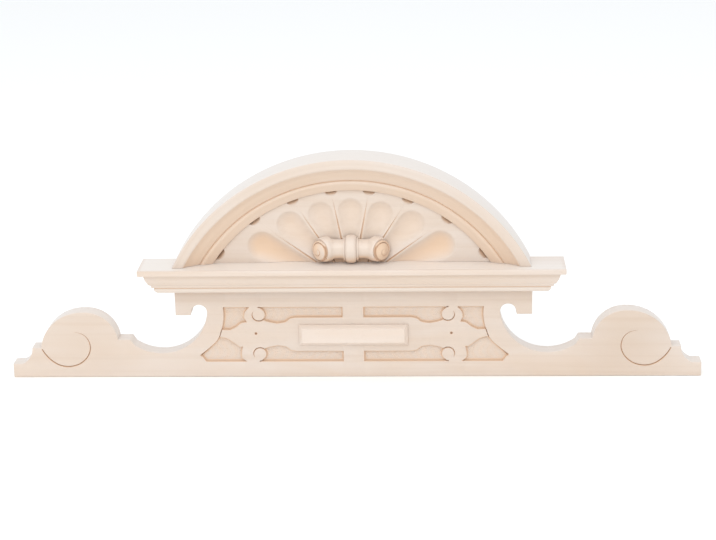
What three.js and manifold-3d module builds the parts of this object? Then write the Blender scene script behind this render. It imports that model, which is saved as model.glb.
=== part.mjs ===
// Carved wooden cabinet crest: a scroll-sawn board with volute wings and sunk strapwork, an applied
// bevelled tablet, a mitred cornice, a segmental arch hood, a carved shell panel and a scroll bolster.
// Millimetres. +X runs along the crest to its right end, -Y is the front, +Z is up. The origin is in the
// middle of the board's bottom edge, halfway through its thickness.
import * as THREE from "three";
import { mergeVertices } from "three/addons/utils/BufferGeometryUtils.js";
import Module from "manifold-3d";

const wasm = await Module();
wasm.setup();

// Driving dimensions: crest board
const boardLength = 1000;
const boardThickness = 24;
const toeHeight = 20.5;
const toeRun = 13;
const toeCoveRun = 17;
const toeCoveRadius = 27;
const outerStepHeight = 45.5;
const voluteTop = 100.4;
const voluteCrownFromEnd = 107;
const voluteCrownFlat = 3;
const voluteOuterRadius = 64.6;
const voluteInnerRadius = 47.2;
const innerStepHeight = 58;
const innerStepRun = 18.5;
const innerStepLip = 5.5;
const hookCentreHeight = 106;
const hookCentreFromLip = 39.5;
const hookRadius = 69;
const bayRadius = 11.3;
const bayCentreHeight = 99.8;
const earFromEnd = 243.5;
const earWidth = 21.8;
const earBottom = 95.4;
const friezeTop = 136;
const tongueInset = 16.5;
const tongueThickness = 10;

// Driving dimensions: incised volute line on each wing
const voluteLineWidth = 2.4;
const voluteLineDepth = 1.8;
const voluteEyeFromCrown = 24;
const voluteEyeAboveStep = 2;

// Driving dimensions: sunk strapwork panels
const strapworkCentreHeight = 65.5;
const strapworkHeight = 83.6;
const strapworkEndFromHook = 57.7;
const strapworkDepth = 4.5;
const centreBarWidth = 30;
const strapHalfHeight = 26;
const eyeShareOfLength = 0.616;
const eyeAboveCentre = 30.4;
const eyeRadius = 9.4;
const eyeLineWidth = 2;
const eyeLineStartRadius = 8.7;
const eyeLineEndRadius = 11.2;
const eyeLineStart = 31;
const eyeLineSweep = 301;
const borderLineWidth = 1.6;
const nailHoleShareOfLength = 0.636;
const nailHoleAboveCentre = 1.6;
const nailHoleDiameter = 3.6;
const nailHoleDepth = 12;

// Driving dimensions: tablet
const tabletLength = 157;
const tabletHeight = 31;
const tabletThickness = 8;
const tabletEdge = 2.5;
const tabletBevelRun = 5;

// Driving dimensions: cornice
const corniceHeight = 41.5;
const corniceProjection = 44.5;
const capThickness = 8;
const capOverhang = 7;
const capDrip = 1;
const throatBottomHeight = 16.5;
const throatBottomProjection = 31.5;
const throatSwell = 0.8;
const filletTopHeight = 14.5;
const filletProjection = 28;
const filletEase = 0.6;
const quirkTopHeight = 11;
const quirkBottomHeight = 9.5;
const quirkProjection = 24.6;
const beadHeight = 6.5;
const beadProjection = 25.4;
const beadFootHeight = 2.5;
const beadFootProjection = 23;
const soffitProjection = 17;

// Driving dimensions: arch hood
const archRise = 156;
const archEndInset = 47.8;
const archSetBack = 12.5;
const fasciaWidth = 13.5;
const fasciaStep = 2.5;
const fasciaDrop = 5;
const hoodSwell = 2.4;
const hoodGrooveFromRim = 33.5;
const hoodGrooveSetBack = 14.5;
const hoodGrooveDepth = 2;
const hoodGrooveWidth = 2.8;
const hoodBeadWidth = 4;
const hoodBeadHeight = 0.8;
const hoodWidth = 49;
const hoodLipSetBack = 20;

// Driving dimensions: shell panel
const shellSetBack = 3.5;
const shellFocusBelowSeat = 36;
const lobeCount = 7;
const lobePitch = 21.4;
const scoopRimMargins = [10.7, 11.6, 11.7, 16.4];
const scoopWidthShare = 0.3;
const scoopDepthShare = 0.05;
const lobeLineWidth = 4;
const lobeLineDepth = 3;
const lobeLineStart = 58;
const lobeLineRimMargin = 4.7;
const notchRadius = 9.5;
const notchOutset = 2.5;
const notchDepth = 11;

// Driving dimensions: scroll bolster
const ringRadius = 20.4;
const ringWidth = 15;
const ringShoulder = 4;
const ringEdge = 2.2;
const ringFilletWidth = 2.8;
const ringFilletRadius = 17;
const drumRadius = 14.2;
const drumWaistRadius = 13.8;
const drumFlareRadius = 15.6;
const drumFlareWidth = 3;
const drumEnd = 36;
const scrollRadius = 14;
const scrollFootRadius = 18.5;
const scrollBandRadius = 16.2;
const scrollBandHeight = 12.5;
const scrollCentre = 46;
const scrollReach = 10.5;
const scrollLength = 17;
const scrollRimEase = 2.4;
const scrollDome = 2.5;
const scrollEyeRadius = 3.2;
const scrollTurn = 45;
const scrollLineWidth = 2.2;
const scrollLineDepth = 1.8;
const scrollLineTurns = 1.35;

// Clearance between pieces that touch
const joint = 0.3;

// Planes that the pieces share
const boardFront = -boardThickness / 2;
const boardBack = boardThickness / 2;
const earHalfWidth = boardLength / 2 - earFromEnd;
const corniceTop = friezeTop + corniceHeight;
const corniceFront = boardFront - corniceProjection;
const corniceBack = boardBack - tongueThickness;
const archFront = corniceFront + archSetBack;
const archHalfSpan = earHalfWidth + corniceProjection - archEndInset;
const archRadius = (archHalfSpan ** 2 + archRise ** 2) / (2 * archRise);
const archCentreHeight = corniceTop + archRise - archRadius;
const hoodLipRadius = archRadius - hoodWidth;
const hoodLipFront = archFront + hoodLipSetBack;
const shellFront = hoodLipFront + shellSetBack;
const shellRadius = hoodLipRadius - joint;
const shellFocus = new THREE.Vector2(0, corniceTop - shellFocusBelowSeat);

const degrees = Math.PI / 180;
const overshoot = 5;

// Solids and meshes
function solidOf(geometry) {
  const bare = geometry.clone();
  bare.deleteAttribute("normal");
  bare.deleteAttribute("uv");
  const merged = mergeVertices(bare);
  const mesh = new wasm.Mesh({
    numProp: 3,
    vertProperties: new Float32Array(merged.attributes.position.array),
    triVerts: new Uint32Array(merged.index.array),
  });
  return new wasm.Manifold(mesh);
}

function meshOf(solid, name, material) {
  const data = solid.getMesh();
  const geometry = new THREE.BufferGeometry();
  geometry.setAttribute("position", new THREE.BufferAttribute(new Float32Array(data.vertProperties), 3));
  geometry.setIndex(new THREE.BufferAttribute(new Uint32Array(data.triVerts), 1));
  geometry.computeVertexNormals();
  const mesh = new THREE.Mesh(geometry, material);
  mesh.name = name;
  return mesh;
}

function wood(colour) {
  return new THREE.MeshStandardMaterial({ color: colour, roughness: 0.62, metalness: 0 });
}

// An outline drawn in X and Z, made solid from one Y plane to another
function slab(outline, front, back) {
  const geometry = new THREE.ExtrudeGeometry(new THREE.Shape(outline), {
    depth: back - front,
    bevelEnabled: false,
  });
  geometry.rotateX(Math.PI / 2);
  geometry.translate(0, back, 0);
  return solidOf(geometry);
}

// A box between two corners
function block(low, high) {
  const size = new THREE.Vector3().subVectors(high, low);
  const middle = new THREE.Vector3().addVectors(low, high).multiplyScalar(0.5);
  const geometry = new THREE.BoxGeometry(size.x, size.y, size.z);
  geometry.translate(middle.x, middle.y, middle.z);
  return solidOf(geometry);
}

const point = (x, z) => new THREE.Vector2(x, z);

// Points along an arc of a circle, both ends included; angles in degrees, a step of about 5 degrees
function arc(centreX, centreZ, radius, from, to, step = 5) {
  const count = Math.max(2, Math.ceil(Math.abs(to - from) / step));
  return Array.from({ length: count + 1 }, (_, i) => {
    const angle = (from + ((to - from) * i) / count) * degrees;
    return point(centreX + radius * Math.cos(angle), centreZ + radius * Math.sin(angle));
  });
}

// Points round a whole circle
function circle(centreX, centreZ, radius, sides) {
  return arc(centreX, centreZ, radius, 0, 360, 360 / sides).slice(1);
}

// Points of a smooth curve through the given points
const curveThrough = (points, count) => new THREE.SplineCurve(points).getPoints(count);

const mirrored = (points) => points.map((p) => point(-p.x, p.y)).reverse();

// A strip of tapering width along a line of points, widest at its start
function stripAlong(points, width, endShare = 0.5) {
  const last = points.length - 1;
  const sides = points.map((p, i) => {
    const before = points[Math.max(i - 1, 0)];
    const after = points[Math.min(i + 1, last)];
    const across = point(before.y - after.y, after.x - before.x).normalize();
    const half = (width / 2) * (1 - ((1 - endShare) * i) / last);
    return { left: p.clone().addScaledVector(across, half), right: p.clone().addScaledVector(across, -half) };
  });
  return [...sides.map((s) => s.left), ...sides.map((s) => s.right).reverse()];
}

// Crest board: outline of the right half, from the bottom centre round to the top centre
const endX = boardLength / 2;
const toeX = endX - toeRun;
const outerStepX = toeX - toeCoveRun;
const crownX = endX - voluteCrownFromEnd;
const innerCrownX = crownX - voluteCrownFlat;
const outerArcCentre = voluteTop - voluteOuterRadius;
const innerArcCentre = voluteTop - voluteInnerRadius;
const innerFoot = Math.asin((innerStepHeight - innerArcCentre) / voluteInnerRadius) / degrees;
const outerFoot = Math.asin((outerStepHeight - outerArcCentre) / voluteOuterRadius) / degrees;
const innerStepX = innerCrownX - voluteInnerRadius * Math.cos(innerFoot * degrees) - innerStepRun;
const hookStartX = innerStepX - innerStepLip;
const hookCentreX = hookStartX - hookCentreFromLip;
const hookStart = -Math.acos(hookCentreFromLip / hookRadius) / degrees;
const hookEndRise = bayCentreHeight - hookCentreHeight;
const hookEnd = -180 - Math.asin(hookEndRise / hookRadius) / degrees;
const bayCentreX = hookCentreX + hookRadius * Math.cos(hookEnd * degrees) + bayRadius;
const earInnerX = earHalfWidth - earWidth;

// The concave arc between two points that bulges down and inwards
function coveBetween(start, end, radius) {
  const chord = new THREE.Vector2().subVectors(end, start);
  const reach = Math.max(radius, chord.length() / 2);
  const rise = Math.sqrt(reach ** 2 - (chord.length() / 2) ** 2);
  const across = point(chord.y, -chord.x).normalize();
  const centre = start.clone().add(end).multiplyScalar(0.5).addScaledVector(across, rise);
  const from = Math.atan2(start.y - centre.y, start.x - centre.x) / degrees;
  const to = Math.atan2(end.y - centre.y, end.x - centre.x) / degrees;
  return arc(centre.x, centre.y, reach, from, to > from ? to - 360 : to, 8);
}

function boardHalfOutline() {
  const cove = coveBetween(point(toeX, toeHeight), point(outerStepX, outerStepHeight), toeCoveRadius);
  return [
    point(0, 0),
    point(endX, 0),
    point(endX, toeHeight),
    ...cove,
    ...arc(crownX, outerArcCentre, voluteOuterRadius, outerFoot, 90, 4),
    ...arc(innerCrownX, innerArcCentre, voluteInnerRadius, 90, 180 - innerFoot, 4),
    point(innerStepX, innerStepHeight),
    ...arc(hookCentreX, hookCentreHeight, hookRadius, hookStart, hookEnd, 4),
    ...arc(bayCentreX, bayCentreHeight, bayRadius, 180, 0, 12).slice(1),
    point(earInnerX, earBottom),
    point(earHalfWidth, earBottom),
    point(earHalfWidth, friezeTop - joint),
    point(0, friezeTop - joint),
  ];
}

// The incised volute line, drawn as shares of the volute's height above the toe, about its eye
function voluteLine() {
  const size = voluteTop - toeHeight;
  const eye = point(crownX + voluteEyeFromCrown, outerStepHeight + voluteEyeAboveStep);
  const turns = [
    [0.5, -0.01],
    [0.43, -0.14],
    [0.33, -0.26],
    [0.18, -0.36],
    [0, -0.39],
    [-0.19, -0.34],
    [-0.34, -0.21],
    [-0.41, -0.04],
    [-0.38, 0.13],
    [-0.28, 0.24],
    [-0.13, 0.285],
  ];
  const spline = turns.map(([x, z]) => point(eye.x + x * size, eye.y + z * size));
  return stripAlong(curveThrough(spline, 36), voluteLineWidth);
}

// Strapwork, right half of the board, seen from the front. Its curves are shares of the carving's own
// half length in X and half height in Z, from the middle of the board at the strapwork's centre height.
const strapworkHalfLength = hookCentreX - strapworkEndFromHook;
const strapworkTop = strapworkCentreHeight + strapworkHeight / 2;
const strapTop = strapworkCentreHeight + strapHalfHeight;
const eyeX = strapworkHalfLength * eyeShareOfLength;

function strapCurve(shares, count) {
  const halfHeight = strapworkHeight / 2;
  const points = shares.map(([x, z]) => point(x * strapworkHalfLength, strapworkCentreHeight + z * halfHeight));
  return curveThrough(points, count);
}

// The border beside both outer compartments, from the top down, with the line cut all along it
const upperBorder = [[0.843, 1], [0.84, 0.682], [0.85, 0.323], [0.859, 0.179]];
const lowerBorder = [[0.884, -0.1675], [0.933, -0.4545], [1, -0.773]];

function borderLine() {
  return stripAlong(strapCurve([...upperBorder, ...lowerBorder], 18), borderLineWidth, 1);
}

// The spiral line that parts an eye from the strap curling round it; rising is 1 above, -1 below
function eyeLine(rising) {
  const steps = 20;
  const spiral = Array.from({ length: steps + 1 }, (_, i) => {
    const share = i / steps;
    const angle = (eyeLineStart - eyeLineSweep * share) * degrees;
    const radius = eyeLineStartRadius + (eyeLineEndRadius - eyeLineStartRadius) * share;
    const z = eyeAboveCentre + radius * Math.sin(angle);
    return point(eyeX + radius * Math.cos(angle), strapworkCentreHeight + rising * z);
  });
  return stripAlong(spiral, eyeLineWidth, 1);
}

function outerUpperCompartment() {
  const border = strapCurve(upperBorder, 10);
  const strap = strapCurve([[0.805, 0.17], [0.764, 0.282], [0.73, 0.423], [0.694, 0.457]], 9);
  const curl = strapCurve([[0.7105, 0.622], [0.7025, 0.825], [0.6745, 1]], 6);
  return [...border, ...strap, ...curl];
}

function outerLowerCompartment() {
  const strap = strapCurve([[0.875, -0.0885], [0.827, -0.146], [0.782, -0.313], [0.744, -0.4665]], 9);
  const curl = strapCurve([[0.726, -0.447], [0.7345, -0.658], [0.733, -0.861], [0.703, -1]], 8);
  const border = strapCurve(lowerBorder, 8).reverse();
  return [...strap, ...curl, ...strapCurve([[0.969, -1], lowerBorder[2]], 1).slice(0, 1), ...border];
}

// The inner compartment rises towards the eye in a wave; the lower one is its mirror image
function innerCompartment() {
  const wave = strapCurve([[0.37, 0.622], [0.41, 0.579], [0.4435, 0.4545], [0.496, 0.407]], 10);
  const rise = strapCurve([[0.541, 0.45], [0.581, 0.526], [0.5995, 0.646]], 6);
  return [
    point(centreBarWidth / 2, strapworkTop),
    point(centreBarWidth / 2, strapTop),
    ...wave,
    ...rise,
    point(rise[rise.length - 1].x, strapworkTop),
  ];
}

const flipped = (points) => points.map((p) => point(p.x, 2 * strapworkCentreHeight - p.y)).reverse();

// What is sunk from the board's front: compartments, strap lines, a nail hole and the volute line
function carvingCutters(side) {
  const floor = boardFront + strapworkDepth;
  const above = boardFront - overshoot;
  const turned = (points) => (side > 0 ? points : mirrored(points));
  const sink = (points, depth) => slab(turned(points), above, boardFront + depth);
  let sunk = sink(innerCompartment(), strapworkDepth).add(sink(flipped(innerCompartment()), strapworkDepth));
  for (const rising of [1, -1]) {
    const eye = circle(eyeX, strapworkCentreHeight + rising * eyeAboveCentre, eyeRadius, 30);
    sunk = sunk.subtract(slab(turned(eye), above, floor));
  }
  const outer = [outerUpperCompartment(), outerLowerCompartment()];
  for (const outline of [...outer, eyeLine(1), eyeLine(-1), borderLine()]) {
    sunk = sunk.add(sink(outline, strapworkDepth));
  }
  const holeX = strapworkHalfLength * nailHoleShareOfLength;
  const hole = circle(holeX, strapworkCentreHeight + nailHoleAboveCentre, nailHoleDiameter / 2, 12);
  return sunk.add(sink(hole, nailHoleDepth)).add(sink(voluteLine(), voluteLineDepth));
}

function crestBoard() {
  const half = boardHalfOutline();
  const outline = [...half, ...mirrored(half).slice(1, -1)];
  const tongueHalfWidth = earHalfWidth - tongueInset;
  const tongueLow = new THREE.Vector3(-tongueHalfWidth, corniceBack + joint, friezeTop - overshoot);
  const tongueHigh = new THREE.Vector3(tongueHalfWidth, boardBack, corniceTop);
  let board = slab(outline, boardFront, boardBack).add(block(tongueLow, tongueHigh));
  for (const side of [1, -1]) {
    board = board.subtract(carvingCutters(side));
  }
  return board;
}

// Tablet: a flat-topped block with a broad bevel on all four sides
function tablet() {
  const back = boardFront - joint;
  const geometry = new THREE.BoxGeometry(tabletLength, tabletThickness, tabletHeight, 1, 2, 1);
  const position = geometry.attributes.position;
  for (let i = 0; i < position.count; i += 1) {
    const depth = position.getY(i);
    if (depth < -tabletThickness / 4) {
      position.setX(i, position.getX(i) - Math.sign(position.getX(i)) * tabletBevelRun);
      position.setZ(i, position.getZ(i) - Math.sign(position.getZ(i)) * tabletBevelRun);
    } else if (depth < tabletThickness / 4) {
      position.setY(i, tabletThickness / 2 - tabletEdge);
    }
  }
  geometry.translate(0, back - tabletThickness / 2, strapworkCentreHeight);
  return solidOf(geometry);
}

// Cornice: how far the moulding stands out from the frieze, against height above its underside
function corniceProfile() {
  const capBottom = corniceHeight - capThickness;
  const throatTop = point(corniceProjection - capOverhang, capBottom - capDrip);
  const throatBottom = point(throatBottomProjection, throatBottomHeight);
  const throatMiddle = point(
    (throatTop.x + throatBottom.x) / 2 + throatSwell,
    (throatTop.y + throatBottom.y) / 2,
  );
  const bead = [
    point(quirkProjection, quirkBottomHeight),
    point(beadProjection, beadHeight),
    point(beadFootProjection, beadFootHeight),
    point(soffitProjection, 0),
  ];
  return [
    point(corniceProjection, corniceHeight),
    point(corniceProjection, capBottom),
    ...curveThrough([throatTop, throatMiddle, throatBottom], 6),
    point(filletProjection + filletEase, filletTopHeight),
    point(filletProjection, quirkTopHeight),
    point(quirkProjection, quirkTopHeight),
    ...curveThrough(bead, 8),
  ];
}

// The mitred moulding is the common part of a run along the front and a run through both ends
function cornice() {
  const profile = corniceProfile();
  const right = profile.map((p) => point(earHalfWidth + p.x, friezeTop + p.y));
  const ends = slab([...mirrored(right), ...right], corniceFront - overshoot, corniceBack);
  const runProfile = [
    ...profile.map((p) => point(boardFront - p.x, friezeTop + p.y)),
    point(corniceBack, friezeTop),
    point(corniceBack, corniceTop),
  ];
  const halfRun = earHalfWidth + corniceProjection + overshoot;
  const run = new THREE.ExtrudeGeometry(new THREE.Shape(runProfile), {
    depth: 2 * halfRun,
    bevelEnabled: false,
  });
  const alongX = new THREE.Matrix4().makeBasis(
    new THREE.Vector3(0, 1, 0),
    new THREE.Vector3(0, 0, 1),
    new THREE.Vector3(1, 0, 0),
  );
  run.applyMatrix4(alongX);
  run.translate(-halfRun, 0, 0);
  return ends.intersect(solidOf(run));
}

// Everything of a solid that stands above the cornice
function aboveCornice(solid) {
  const reach = archRadius + overshoot;
  const low = new THREE.Vector3(-reach, archFront - overshoot, archCentreHeight - reach);
  const high = new THREE.Vector3(reach, boardBack + overshoot, corniceTop + joint);
  return solid.subtract(block(low, high));
}

// Arch hood: a moulded ring about the Y axis, cut off at the cornice. The profile holds radius and Y.
function hoodProfile() {
  const fasciaInner = archRadius - fasciaWidth;
  const groove = point(archRadius - hoodGrooveFromRim, archFront + hoodGrooveSetBack);
  const slopeStart = point(fasciaInner - fasciaStep, archFront + fasciaDrop);
  const slopeEnd = point(groove.x + hoodGrooveWidth / 2, groove.y);
  const swell = point((slopeStart.x + slopeEnd.x) / 2, (slopeStart.y + slopeEnd.y) / 2 - hoodSwell);
  const beadStart = groove.x - hoodGrooveWidth / 2;
  return [
    point(hoodLipRadius, boardBack),
    point(hoodLipRadius, hoodLipFront),
    point(beadStart - hoodBeadWidth, groove.y + hoodBeadHeight / 2),
    point(beadStart - hoodBeadWidth / 2, groove.y - hoodBeadHeight / 2),
    point(beadStart, groove.y + hoodBeadHeight / 2),
    point(groove.x, groove.y + hoodGrooveDepth),
    ...curveThrough([slopeEnd, swell, slopeStart], 6),
    point(fasciaInner, archFront),
    point(archRadius, archFront),
    point(archRadius, boardBack),
    point(hoodLipRadius, boardBack),
  ];
}

function archHood() {
  const ring = new THREE.LatheGeometry(hoodProfile(), 120);
  ring.translate(0, 0, archCentreHeight);
  return aboveCornice(solidOf(ring));
}

// How far the panel's rim is from the focus, along a ray at an angle from upright
function rimDistance(angle) {
  const drop = archCentreHeight - shellFocus.y;
  const across = drop * Math.sin(angle * degrees);
  return drop * Math.cos(angle * degrees) + Math.sqrt(shellRadius ** 2 - across ** 2);
}

// Shell panel: a lobe's scoop is a cone that ends in a ball, its axis tilted out of the panel's face
function scoop(length, angle) {
  const endRadius = (length * scoopWidthShare) / 2 / (1 + scoopWidthShare / 2);
  const axisLength = length - endRadius;
  const depth = length * scoopDepthShare;
  const ballRadius = (endRadius ** 2 + depth ** 2) / (2 * depth);
  const lift = Math.asin((ballRadius - depth) / axisLength);
  const flank = Math.asin(ballRadius / axisLength);
  const profile = [point(0, 0)];
  for (const p of arc(0, axisLength, ballRadius, -flank / degrees, 90, 8)) {
    profile.push(point(Math.max(p.x, 0), p.y));
  }
  profile[profile.length - 1].x = 0;
  const geometry = new THREE.LatheGeometry(profile, 52);
  geometry.rotateX(Math.PI / 2 + lift);
  geometry.rotateY(angle * degrees);
  geometry.translate(shellFocus.x, shellFront, shellFocus.y);
  return solidOf(geometry);
}

// The straight line cut between two lobes, deep near the focus and running out towards the rim
function lobeLine(angle) {
  const halfWidth = lobeLineWidth / 2;
  const steepness = lobeLineDepth / halfWidth;
  const section = new THREE.Shape([
    point(-halfWidth - overshoot, -overshoot * steepness),
    point(halfWidth + overshoot, -overshoot * steepness),
    point(0, lobeLineDepth),
  ]);
  const length = rimDistance(0) - lobeLineRimMargin - lobeLineStart;
  const geometry = new THREE.ExtrudeGeometry(section, { depth: length, bevelEnabled: false });
  geometry.rotateX(Math.atan(lobeLineDepth / length));
  geometry.translate(0, 0, lobeLineStart);
  geometry.rotateY(angle * degrees);
  geometry.translate(shellFocus.x, shellFront, shellFocus.y);
  return solidOf(geometry);
}

// The gouged notch where the line between two lobes meets the hood
function rimNotch(angle) {
  const reach = rimDistance(angle) + notchOutset;
  const centreX = reach * Math.sin(angle * degrees);
  const centreZ = shellFocus.y + reach * Math.cos(angle * degrees);
  return slab(circle(centreX, centreZ, notchRadius, 24), shellFront - overshoot, shellFront + notchDepth);
}

function shellPanel() {
  const disc = circle(0, archCentreHeight, shellRadius, 144);
  let panel = aboveCornice(slab(disc, shellFront, boardBack));
  const middle = (lobeCount - 1) / 2;
  for (let i = 0; i < lobeCount; i += 1) {
    const place = i - middle;
    const angle = place * lobePitch;
    const length = rimDistance(angle) - scoopRimMargins[Math.abs(place)];
    panel = panel.subtract(scoop(length, angle));
  }
  for (let i = 0; i <= lobeCount; i += 1) {
    const angle = (i - lobeCount / 2) * lobePitch;
    panel = panel.subtract(rimNotch(angle));
    if (i > 0 && i < lobeCount) {
      panel = panel.subtract(lobeLine(angle));
    }
  }
  return panel;
}

// Scroll bolster: a turned roll with a ring at its middle, planted on the panel's face
const bolsterHeight = corniceTop + joint + ringRadius;
const bolsterDepth = shellFront - joint;

function turnedRoll() {
  const halfRing = ringWidth / 2;
  const filletEnd = halfRing + ringFilletWidth;
  const drum = curveThrough(
    [
      point(drumRadius, filletEnd),
      point(drumWaistRadius, (3 * filletEnd + drumEnd) / 4),
      point(drumRadius, (filletEnd + drumEnd) / 2),
      point(drumFlareRadius, drumEnd - drumFlareWidth),
      point(drumRadius, drumEnd),
    ],
    8,
  );
  const half = [
    point(ringRadius, 0),
    point(ringRadius, halfRing - ringShoulder),
    point(ringRadius - ringEdge, halfRing),
    point(ringFilletRadius, halfRing),
    point(ringFilletRadius, filletEnd),
    ...drum,
    point(0, drumEnd),
  ];
  const other = half.slice(1).map((p) => point(p.x, -p.y)).reverse();
  const geometry = new THREE.LatheGeometry([...other, ...half], 28);
  geometry.rotateZ(-Math.PI / 2);
  geometry.translate(0, bolsterDepth, bolsterHeight);
  return solidOf(geometry);
}

// The spiral line on a scroll's face, as a strip round its eye
function scrollLine(side) {
  const steps = 24;
  const spiral = Array.from({ length: steps + 1 }, (_, i) => {
    const share = i / steps;
    const angle = (100 - 360 * scrollLineTurns * share) * degrees;
    const radius = scrollRadius * (0.84 - 0.6 * share);
    return point(side * radius * Math.cos(angle), radius * Math.sin(angle));
  });
  return new THREE.Shape(stripAlong(spiral, scrollLineWidth, 0.7));
}

// Height of the scroll's face above its foot, at a distance from its axis
function scrollFaceHeight(distance) {
  const rim = scrollRadius - scrollRimEase;
  const share = Math.min(Math.max((rim - distance) / (rim - scrollEyeRadius), 0), 1);
  return scrollLength + scrollDome * share;
}

// A volute scroll, turned outwards: a wide foot, and inside its band a low cone with a spiral line
function scroll(side) {
  const eased = [
    point(0, 0),
    point(scrollFootRadius, 0),
    point((2 * scrollFootRadius + scrollBandRadius) / 3, (2 * scrollBandHeight) / 3),
    point(scrollBandRadius, scrollBandHeight),
    point(scrollRadius, scrollBandHeight - scrollLineDepth / 2),
    ...arc(scrollRadius - scrollRimEase, scrollLength - scrollRimEase, scrollRimEase, 0, 70, 35),
    point(scrollEyeRadius, scrollLength + scrollDome),
    point(0, scrollLength + scrollDome),
  ];
  const body = new THREE.LatheGeometry(eased, 32);
  const line = new THREE.ExtrudeGeometry(scrollLine(side), {
    depth: scrollLineDepth + overshoot,
    bevelEnabled: false,
  });
  const position = line.attributes.position;
  for (let i = 0; i < position.count; i += 1) {
    const face = scrollFaceHeight(Math.hypot(position.getX(i), position.getY(i)));
    position.setZ(i, position.getZ(i) + face - scrollLineDepth);
  }
  line.rotateX(-Math.PI / 2);
  const [solid, groove] = [body, line].map((geometry) => {
    geometry.rotateX(Math.PI);
    geometry.translate(0, scrollLength, 0);
    geometry.rotateZ(side * scrollTurn * degrees);
    geometry.translate(side * scrollCentre, bolsterDepth - scrollReach, bolsterHeight);
    return solidOf(geometry);
  });
  return solid.subtract(groove);
}

function scrollBolster() {
  const whole = turnedRoll().add(scroll(1)).add(scroll(-1));
  const reach = scrollCentre + scrollRadius + overshoot;
  const low = new THREE.Vector3(-reach, bolsterDepth, bolsterHeight - reach);
  const high = new THREE.Vector3(reach, bolsterDepth + reach, bolsterHeight + reach);
  return whole.subtract(block(low, high));
}

// The pieces
const crest = new THREE.Group();
crest.add(meshOf(crestBoard(), "crest_board", wood(0xecd9ca)));
crest.add(meshOf(tablet(), "tablet", wood(0xf1e3da)));
crest.add(meshOf(cornice(), "cornice", wood(0xeedccd)));
crest.add(meshOf(archHood(), "arch_hood", wood(0xf1decf)));
crest.add(meshOf(shellPanel(), "shell_panel", wood(0xe5d1c1)));
crest.add(meshOf(scrollBolster(), "scroll_bolster", wood(0xe8d3c2)));

export default crest;
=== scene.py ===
import math
from collections import namedtuple

import bmesh
import bpy
import numpy as np
from bpy.props import FloatProperty, FloatVectorProperty, PointerProperty
from mathutils import Matrix, Vector
from mathutils.geometry import delaunay_2d_cdt


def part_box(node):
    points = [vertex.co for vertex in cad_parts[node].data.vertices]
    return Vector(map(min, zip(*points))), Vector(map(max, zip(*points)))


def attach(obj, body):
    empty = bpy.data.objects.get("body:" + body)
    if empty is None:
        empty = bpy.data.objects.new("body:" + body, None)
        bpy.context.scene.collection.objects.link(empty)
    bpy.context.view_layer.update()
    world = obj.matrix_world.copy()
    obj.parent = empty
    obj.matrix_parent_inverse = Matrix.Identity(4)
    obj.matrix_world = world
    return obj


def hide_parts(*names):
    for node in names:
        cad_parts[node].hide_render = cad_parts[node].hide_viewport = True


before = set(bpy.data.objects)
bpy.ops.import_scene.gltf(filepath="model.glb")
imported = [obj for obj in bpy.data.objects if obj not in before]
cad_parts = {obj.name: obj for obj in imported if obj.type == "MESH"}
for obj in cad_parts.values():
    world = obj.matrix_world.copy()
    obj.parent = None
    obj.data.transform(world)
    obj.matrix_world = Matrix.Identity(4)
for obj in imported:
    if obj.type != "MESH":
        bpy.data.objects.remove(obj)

bl_info = {
    "name": "Carved cabinet crest",
    "version": (1, 0, 0),
    "blender": (4, 5, 0),
    "location": "3D View > Sidebar > Crest",
    "description": "Makes the carved, bare-wood crest of a cabinet, piece by piece, round its solid frame",
    "category": "Add Mesh",
}

# Shapes are worked out in millimetres, +X to the right end, -Y to the front and +Z up. The origin is in
# the middle of the board's bottom edge, halfway through its thickness. Outlines hold X and Z, seen from
# the front, and run anticlockwise.
MM = 0.001


def node_box(node):
    """Lowest and highest corner of a solid of the frame, in millimetres."""
    low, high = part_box(node)
    return np.array(low) / MM, np.array(high) / MM


# Sizes read from the frame
(_, board_front, _), (board_end, board_back, _) = node_box("crest_board")
tablet_low, tablet_high = node_box("tablet")
cornice_low, cornice_high = node_box("cornice")
hood_low, hood_high = node_box("arch_hood")
(_, shell_front, _), _ = node_box("shell_panel")
(_, _, bolster_bottom), (_, bolster_back, bolster_top) = node_box("scroll_bolster")
frieze_top = cornice_low[2]
seat_height = hood_low[2]
gap = seat_height - cornice_high[2]

# Board's outline
toe_height = 20.5
toe_run = 13.0
toe_cove_run = 17.0
toe_cove_radius = 27.0
outer_step_height = 45.5
volute_top = 100.4
volute_crown_from_end = 107.0
volute_crown_flat = 3.0
volute_outer_radius = 64.6
volute_inner_radius = 47.2
inner_step_height = 58.0
inner_step_run = 18.5
inner_step_lip = 5.5
hook_centre_height = 106.0
hook_centre_from_lip = 39.5
hook_radius = 69.0
bay_radius = 11.3
bay_centre_height = 99.8
ear_from_end = 243.5
ear_width = 21.8
ear_bottom = 95.4
tongue_inset = 16.5
outline_step = 4

# Strapwork, with its curves as shares of its half length and half height
strapwork_middle = 65.5
strapwork_height = 83.6
strapwork_end_from_hook = 57.7
centre_bar_width = 30.0
strap_half_height = 26.0
eye_share_of_length = 0.616
eye_above_middle = 30.4
eye_radius = 9.4
eye_line_radii = (8.7, 11.2)
eye_line_start = 31.0
eye_line_sweep = 301.0
nail_hole_share_of_length = 0.636
nail_hole_above_middle = 1.6
nail_hole_radius = 1.8
nail_hole_floor_share = 0.8
nail_hole_depth = 1.6
upper_border = [(0.843, 1), (0.84, 0.682), (0.85, 0.323), (0.859, 0.179)]
lower_border = [(0.884, -0.1675), (0.933, -0.4545), (1, -0.773)]
volute_turns = [
    (0.5, -0.01), (0.43, -0.14), (0.33, -0.26), (0.18, -0.36), (0, -0.39), (-0.19, -0.34),
    (-0.34, -0.21), (-0.41, -0.04), (-0.38, 0.13), (-0.28, 0.24), (-0.13, 0.285),
]
volute_eye_from_crown = 24.0
volute_eye_above_step = 2.0
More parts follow.
